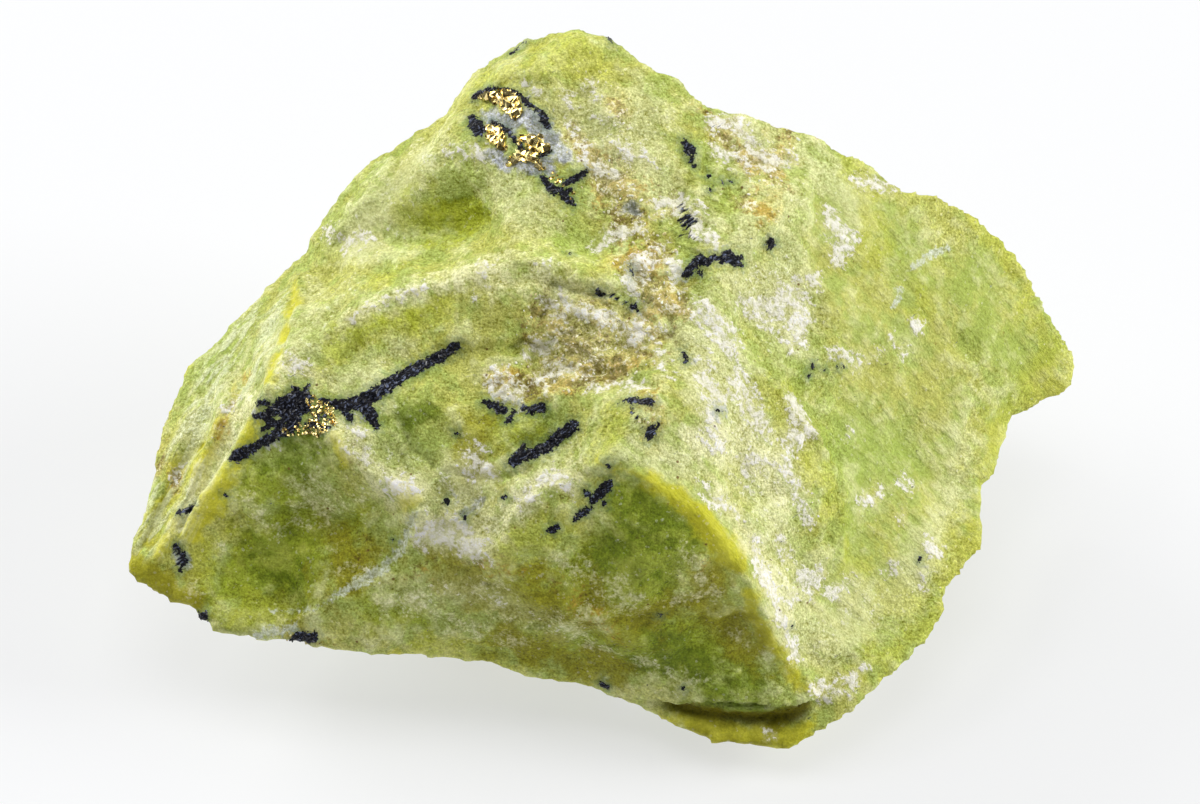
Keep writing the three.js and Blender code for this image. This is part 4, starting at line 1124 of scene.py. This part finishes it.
def ink_material():
    """The black mineral of the streaks, with a painted sheen."""
    material, graph, surface = new_material("black mineral")
    place = graph.add("ShaderNodeTexCoord", None, None, 3)
    sheen = graph.noise(place, 0.3 * MM, 3)
    colour = graph.mix(sheen.rise(0.56, 0.7), INK, INK_SHEEN)
    graph.fill(surface, {"Base Color": colour, "Roughness": sheen * 0.5, "Specular IOR Level": 0.6})
    return material


def crumb_material():
    """White sugary crumbs, some of them yellow."""
    material, graph, surface = new_material("sugary crust")
    place = graph.add("ShaderNodeTexCoord", None, None, 3)
    tone = graph.noise(place, 0.8 * MM, 2)
    colour = graph.mix(tone.rise(0.40, 0.56), WHITE, CRUMB_YELLOW)
    graph.fill(surface, {
        "Base Color": colour, "Roughness": 0.35 + tone * 0.3, "Subsurface Weight": 0.15,
        "Subsurface Scale": 0.4 * MM,
    })
    return material


def gold_material():
    """Gold, darker brown in patches strewn at random: painted shade."""
    material, graph, surface = new_material("native gold")
    place = graph.add("ShaderNodeTexCoord", None, None, 3)
    shade_and_roughness = graph.noise(place, 0.35 * MM, 3)
    colour = graph.mix(shade_and_roughness.fall(0.36, 0.5) * 0.8, GOLD_METAL, GOLD_SHADE)
    graph.fill(surface, {"Base Color": colour, "Roughness": 0.1 + shade_and_roughness * 0.25, "Metallic": 1.0})
    return material


def foil(stone, runs):
    """The gold leaves: the skin under their strokes, lifted, crumpled and closed."""
    shape = bmesh.new()
    shape.from_mesh(stone.data)
    shape.verts.ensure_lookup_table()
    places = np.array([v.co for v in shape.verts]) / MM
    keep = set(np.flatnonzero(distance_to(runs, places) < FOIL_EDGE))
    bmesh.ops.delete(shape, geom=[v for v in shape.verts if v.index not in keep], context="VERTS")
    bmesh.ops.delete(shape, geom=[v for v in shape.verts if not v.link_faces], context="VERTS")
    bmesh.ops.triangulate(shape, faces=shape.faces)
    noise.seed_set(FOIL_SEED)  # noise_vector takes its offsets from the clock without it
    lift = {}
    for v in shape.verts:
        at = v.co / MM
        crumple = abs(noise.noise(at / 0.9)) * 1.6 + abs(noise.noise(at / 0.35)) * 0.4
        sway = noise.noise_vector(at / 0.4) * (0.1 * MM)
        lift[v] = v.normal * ((FOIL_LIFT + crumple * FOIL_CRUMPLE) * MM) + sway
    for v, move in lift.items():
        v.co += move
    for face in shape.faces:
        face.smooth = False
    mesh = bpy.data.meshes.new("gold foil")
    shape.to_mesh(mesh)
    shape.free()
    piece = new_piece("gold_foil", mesh)
    folds = piece.modifiers.new("folds", "DECIMATE")
    folds.ratio = 0.45
    wall = piece.modifiers.new("wall", "SOLIDIFY")
    wall.thickness = FOIL_WALL * MM
    wall.offset = -1
    piece.data = evaluated(piece)
    piece.data.materials.clear()
    piece.data.materials.append(gold_material())
    return piece


def flake():
    """One crumpled leaf, a millimetre across."""
    rim = [
        (0.5, 0.1, 0.06), (0.2, 0.42, -0.08), (-0.28, 0.36, 0.1), (-0.48, -0.05, -0.05), (-0.2, -0.4, 0.08),
        (0.3, -0.34, -0.04),
    ]
    leaf = bmesh.new()
    top = [leaf.verts.new((x, y, z + 0.16)) for x, y, z in rim]
    bottom = [leaf.verts.new((x, y, z - 0.1)) for x, y, z in rim]
    crown = leaf.verts.new((0.05, -0.02, 0.3))
    base = leaf.verts.new((0, 0, -0.2))
    for k in range(len(rim)):
        n = (k + 1) % len(rim)
        leaf.faces.new((top[k], top[n], crown))
        leaf.faces.new((bottom[n], bottom[k], base))
        leaf.faces.new((bottom[k], bottom[n], top[n], top[k]))
    return grain_piece("leaf", leaf)


def crystal(length):
    """One six-sided prism with slanting ends, lying down, a millimetre long if its length is 1."""
    body = bmesh.new()
    rings = [(0.30, -0.5), (0.36, -0.3), (0.32, 0.3), (0.12, 0.55)]
    rows = []
    for k, (radius, x) in enumerate(rings):
        turns = [math.tau * (n + 0.15 * k) / 6 for n in range(6)]
        ring = [(x * length, radius * math.cos(a), radius * math.sin(a) * 0.8) for a in turns]
        rows.append([body.verts.new(place) for place in ring])
    for low, high in zip(rows, rows[1:]):
        for n in range(6):
            body.faces.new((low[n], low[n - 5], high[n - 5], high[n]))
    body.faces.new(rows[0][::-1])
    body.faces.new(rows[-1])
    return grain_piece("crystal", body)


def grain_piece(name, shape):
    """The shape as an object outside the scene, a millimetre for each unit."""
    for v in shape.verts:
        v.co *= MM
    mesh = bpy.data.meshes.new(name)
    shape.to_mesh(mesh)
    shape.free()
    return bpy.data.objects.new(name, mesh)


def scatter_tree(name, grain, material):
    """The nodes that strew grains over a skin where its density is not nought."""
    tree = bpy.data.node_groups.new(name, "GeometryNodeTree")
    graph = Graph(tree)
    tree.interface.new_socket("Geometry", in_out="INPUT", socket_type="NodeSocketGeometry")
    for socket in ("Grains in a square metre", "Smallest", "Largest", "Tilt"):
        tree.interface.new_socket(socket, in_out="INPUT", socket_type="NodeSocketFloat")
    tree.interface.new_socket("Seed", in_out="INPUT", socket_type="NodeSocketInt")
    tree.interface.new_socket("Geometry", in_out="OUTPUT", socket_type="NodeSocketGeometry")
    given = tree.nodes.new("NodeGroupInput")
    skin, density, smallest, largest, tilt, seed = (Socket(graph, given.outputs[k]) for k in range(6))
    share = graph.add("GeometryNodeInputNamedAttribute", {"data_type": "FLOAT"}, {"Name": name})
    scatter = tree.nodes.new("GeometryNodeDistributePointsOnFaces")
    tree.links.new(skin.output, scatter.inputs["Mesh"])
    tree.links.new((density * share).output, scatter.inputs["Density"])
    tree.links.new(seed.output, scatter.inputs["Seed"])
    points, rotation = Socket(graph, scatter.outputs["Points"]), Socket(graph, scatter.outputs["Rotation"])

    def drawn(low, high, number, data="FLOAT"):
        index = {"FLOAT": (2, 3, 1), "FLOAT_VECTOR": (0, 1, 0)}[data]
        inputs = {index[0]: low, index[1]: high, "Seed": number}
        return graph.add("FunctionNodeRandomValue", {"data_type": data}, inputs, index[2])

    scale = drawn(smallest, largest, 3)
    turn = drawn((-1, -1, -math.pi), (1, 1, math.pi), 5, "FLOAT_VECTOR")
    lean = graph.add("ShaderNodeCombineXYZ", None, {0: tilt, 1: tilt, 2: 1.0})
    turn = graph.add("FunctionNodeEulerToRotation", None, {0: graph.vectors("MULTIPLY", turn, lean)})
    turn = graph.add("FunctionNodeRotateRotation", {"rotation_space": "LOCAL"}, {0: rotation, 1: turn})
    shape = graph.add("GeometryNodeObjectInfo", None, {"Object": grain}, "Geometry")
    grains = {"Points": points, "Instance": shape, "Rotation": turn, "Scale": scale}
    grains = graph.add("GeometryNodeInstanceOnPoints", None, grains)
    whole = graph.add("GeometryNodeRealizeInstances", None, {"Geometry": grains})
    done = graph.add("GeometryNodeSetMaterial", None, {"Geometry": whole, "Material": material})
    tree.links.new(done.output, tree.nodes.new("NodeGroupOutput").inputs[0])
    return tree


def hidden_share(mesh):
    """1 where the skin faces away from the view and 0 where it faces it."""
    normals = np.empty(len(mesh.vertices) * 3)
    mesh.vertex_normals.foreach_get("vector", normals)
    facing = normals.reshape(-1, 3) @ np.array((0, -math.cos(VIEW_RISE), math.sin(VIEW_RISE)))
    return np.clip(0.5 - facing * 8, 0, 1)


# What covers the side that the view doesn't show: (size of its patches in mm, how rare it is, number).
GUESSED = {
    "frosted": (9, 0.15, 1), "crust": (4, 0.42, 2), "ochre": (6, 0.34, 3), "mottled": (8, 0.42, 4),
    "vivid": (10, 0.1, 11), "deep": (10, 0.30, 5), "olive": (8, 0.34, 6), "yellowed": (5, 0.30, 7),
    "fresh": (7, 0.28, 8), "black": (1.6, 0.66, 9), "uneven": (12, 0.1, 10),
}


def dressed_stone(node):
    """The stone's skin with its minerals marked on it and its relief."""
    skin = even_skin(node)
    corners = [v.co.copy() for v in skin.vertices]
    tree = BVHTree.FromPolygons(corners, [list(p.vertices) for p in skin.polygons])
    black, gold = laid_strokes(tree, BLACK), laid_strokes(tree, GOLD)
    crests, grooves = laid_strokes(tree, CRESTS), laid_strokes(tree, GROOVES)
    ledge, plate = laid_strokes(tree, {"edge": LEDGE}), laid_strokes(tree, {"edge": PLATE_EDGE})
    fine = black + gold + crests + grooves + ledge + plate + laid_strokes(tree, ROUGH)
    refine(skin, distance_to(fine, places_of(skin)))
    places = places_of(skin)
    marks = {
        "inky": INKY, "grey": GREY, "vein": VEIN, "crust": CRUST, "frosted": FROSTED, "frost": FROST,
        "ochre": OCHRE, "waxy": WAXY, "bleached": BLEACHED, "yellowed": YELLOWED, "fresh": FRESH,
        "deep": DEEP, "vivid": VIVID, "olive": OLIVE_ZONE, "shadowed": SHADOWED, "pale": PALE,
        "slabs": SLABS, "rough": ROUGH, "mottled": MOTTLED, "uneven": UNEVEN, "even": EVEN,
    }
    fields = {name: distance_to(laid_strokes(tree, strokes), places) for name, strokes in marks.items()}
    fields["black"] = distance_to(black, places)
    brow = [(across, down - BROW_LIFT) for across, down in LEDGE]
    fields["shadowed"] = np.where(under(brow, places), fields["shadowed"], FAR)
    hidden = hidden_share(skin)
    for name, (size, wide, number) in GUESSED.items():
        drift = np.array([noise.noise(Vector(place) / size + Vector((number, 0, 0))) for place in places])
        guess = np.where(hidden > 0.5, (wide - drift) * size, FAR)
        fields[name] = np.minimum(fields[name], guess)
    for name, field in fields.items():
        keep_on(skin, name, field)
    crest = crest_height(skin)
    form = REGAIN + np.clip(crest * SHARPEN, -SHARPEN_MOST / 3, SHARPEN_MOST)
    beside = np.maximum(distance_to(laid_strokes(tree, FILLS), places), 0)
    form += FILL_RISE * np.exp(-(beside / FILL_WIDTH) ** 2)
    form += CREST_RISE * cusp(distance_to(crests, places), CREST_WIDTH)
    form -= GROOVE_DEPTH * cusp(distance_to(grooves, places), GROOVE_WIDTH)
    form -= LEDGE_DEPTH * cusp(distance_to(ledge, places), LEDGE_WIDTH) * under(LEDGE, places)
    form += PLATE_RISE * cusp(distance_to(plate, places), PLATE_WIDTH) * left_of(PLATE_EDGE, places)
    keep_on(skin, "form", form)
    keep_on(skin, "hidden", hidden)
    keep_on(skin, "crest", crest)
    loose = np.clip(0.5 - distance_to(gold[LEAF_COUNT:], places) / LEAF_FRINGE, 0, 1)
    near = LOOSE_SHARE * np.clip(0.5 - distance_to(gold, places) / LEAF_FRINGE, 0, 1)
    keep_on(skin, "gold_leaves", np.maximum(loose, near))
    clear = np.clip(places[:, 2] - GRAIN_SHELTER, 0, 1)
    keep_on(skin, "black_grains", clear * np.clip(-fields["black"] / INK_FRINGE, 0, 1))
    sugary = np.clip(0.5 - fields["mottled"] / SUGAR_REACH, 0, 1)
    keep_on(skin, "white_crumbs", clear * sugary * np.clip(0.5 + fields["black"] / (2 * INK_FRINGE), 0, 1))
    piece = new_piece("weathered_stone", skin)
    piece.data = run_tree(piece, relief_tree(serpentine_material()), Depth=1.0)
    piece.data.shade_smooth()
    return piece, gold


def strewn_grains(name, stone, grain, material, density, scales, tilt, seed):
    """Grains strewn over the stone, that many in a square millimetre, where its share of that name is 1."""
    piece = new_piece(name, stone.data)
    values = {
        "Grains in a square metre": density / MM**2, "Smallest": scales[0], "Largest": scales[1],
        "Tilt": tilt, "Seed": seed,
    }
    piece.data = run_tree(piece, scatter_tree(name, grain, material), **values)
    bpy.data.objects.remove(grain)
    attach(piece, "root")


def camera():
    """The long lens that the view is taken with."""
    data = bpy.data.cameras.new("camera")
    data.sensor_width = SENSOR_WIDTH
    data.lens = LENS
    data.clip_start = 10 * MM
    eye = new_piece("camera", data)
    forward = line_of_sight(FRAME_WIDTH / 2, FRAME_HEIGHT / 2)[1]
    eye.location = VIEW_TARGET - forward * VIEW_DISTANCE
    eye.rotation_euler = forward.to_track_quat("-Z", "Y").to_euler()
    bpy.context.scene.camera = eye


def softbox(name, place, size, power, colour=(1, 1, 1)):
    """A square soft light that faces the stone."""
    data = bpy.data.lights.new(name, "AREA")
    data.size = size
    data.energy = power
    data.color = colour
    light = new_piece(name, data)
    light.location = place
    light.rotation_euler = (VIEW_TARGET - Vector(place)).to_track_quat("-Z", "Y").to_euler()


# Soft lights: (name, compass angle from the front, rise, side, distance, power). Degrees, metres, watts.
LIGHTS = [
    ("ceiling", 0, 88, 0.45, 0.8, 2.15),
    ("right", 92, 27, 0.40, 0.8, 5.5),
    ("back left", 228, 28, 0.40, 0.8, 4.4),
    ("high back left", 258, 50, 0.40, 0.8, 2.0),
]
FLOOR_GREY, FLOOR_SHINE = (0.30, 0.302, 0.306, 1), (0.985, 0.99, 1, 1)
FLOOR_GLOW = 0.605  # the share of the floor's brightness that doesn't take a shadow
SKY, SKY_STRENGTH = (0.95, 0.97, 1, 1), 0.06


def setting():
    """The pale floor and the soft light of a studio."""
    shape = bmesh.new()
    bmesh.ops.create_grid(shape, x_segments=1, y_segments=1, size=1.5)
    mesh = bpy.data.meshes.new("floor")
    shape.to_mesh(mesh)
    shape.free()
    floor = new_piece("floor", mesh)
    material, graph, surface = new_material("pale floor")
    graph.fill(surface, {
        "Base Color": FLOOR_GREY, "Roughness": 1.0, "Specular IOR Level": 0.0,
        "Emission Color": FLOOR_SHINE, "Emission Strength": FLOOR_GLOW,
    })
    floor.data.materials.append(material)
    world = bpy.data.worlds.new("studio")
    bpy.context.scene.world = world
    world.use_nodes = True
    background = world.node_tree.nodes["Background"]
    Graph(world.node_tree).fill(background, {"Color": SKY, "Strength": SKY_STRENGTH})
    for name, angle, rise, side, distance, power in LIGHTS:
        a, e = math.radians(angle), math.radians(rise)
        away = Vector((math.sin(a) * math.cos(e), -math.cos(a) * math.cos(e), math.sin(e)))
        softbox(name, VIEW_TARGET + away * distance, side, power)
    bpy.context.scene.view_settings.view_transform = "Standard"


camera()
setting()
stone, gold_runs = dressed_stone(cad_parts["serpentine_rock"])
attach(stone, "root")
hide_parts("serpentine_rock")
leaves = foil(stone, gold_runs[:LEAF_COUNT])
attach(leaves, "root")
strewn_grains("gold_leaves", stone, flake(), gold_material(), 20, (0.14, 0.38), tilt=0.9, seed=11)
strewn_grains("black_grains", stone, crystal(2.2), ink_material(), 10, (0.10, 0.22), tilt=0.4, seed=12)
strewn_grains("white_crumbs", stone, crystal(1.0), crumb_material(), 1.5, (0.12, 0.34), tilt=1.0, seed=13)
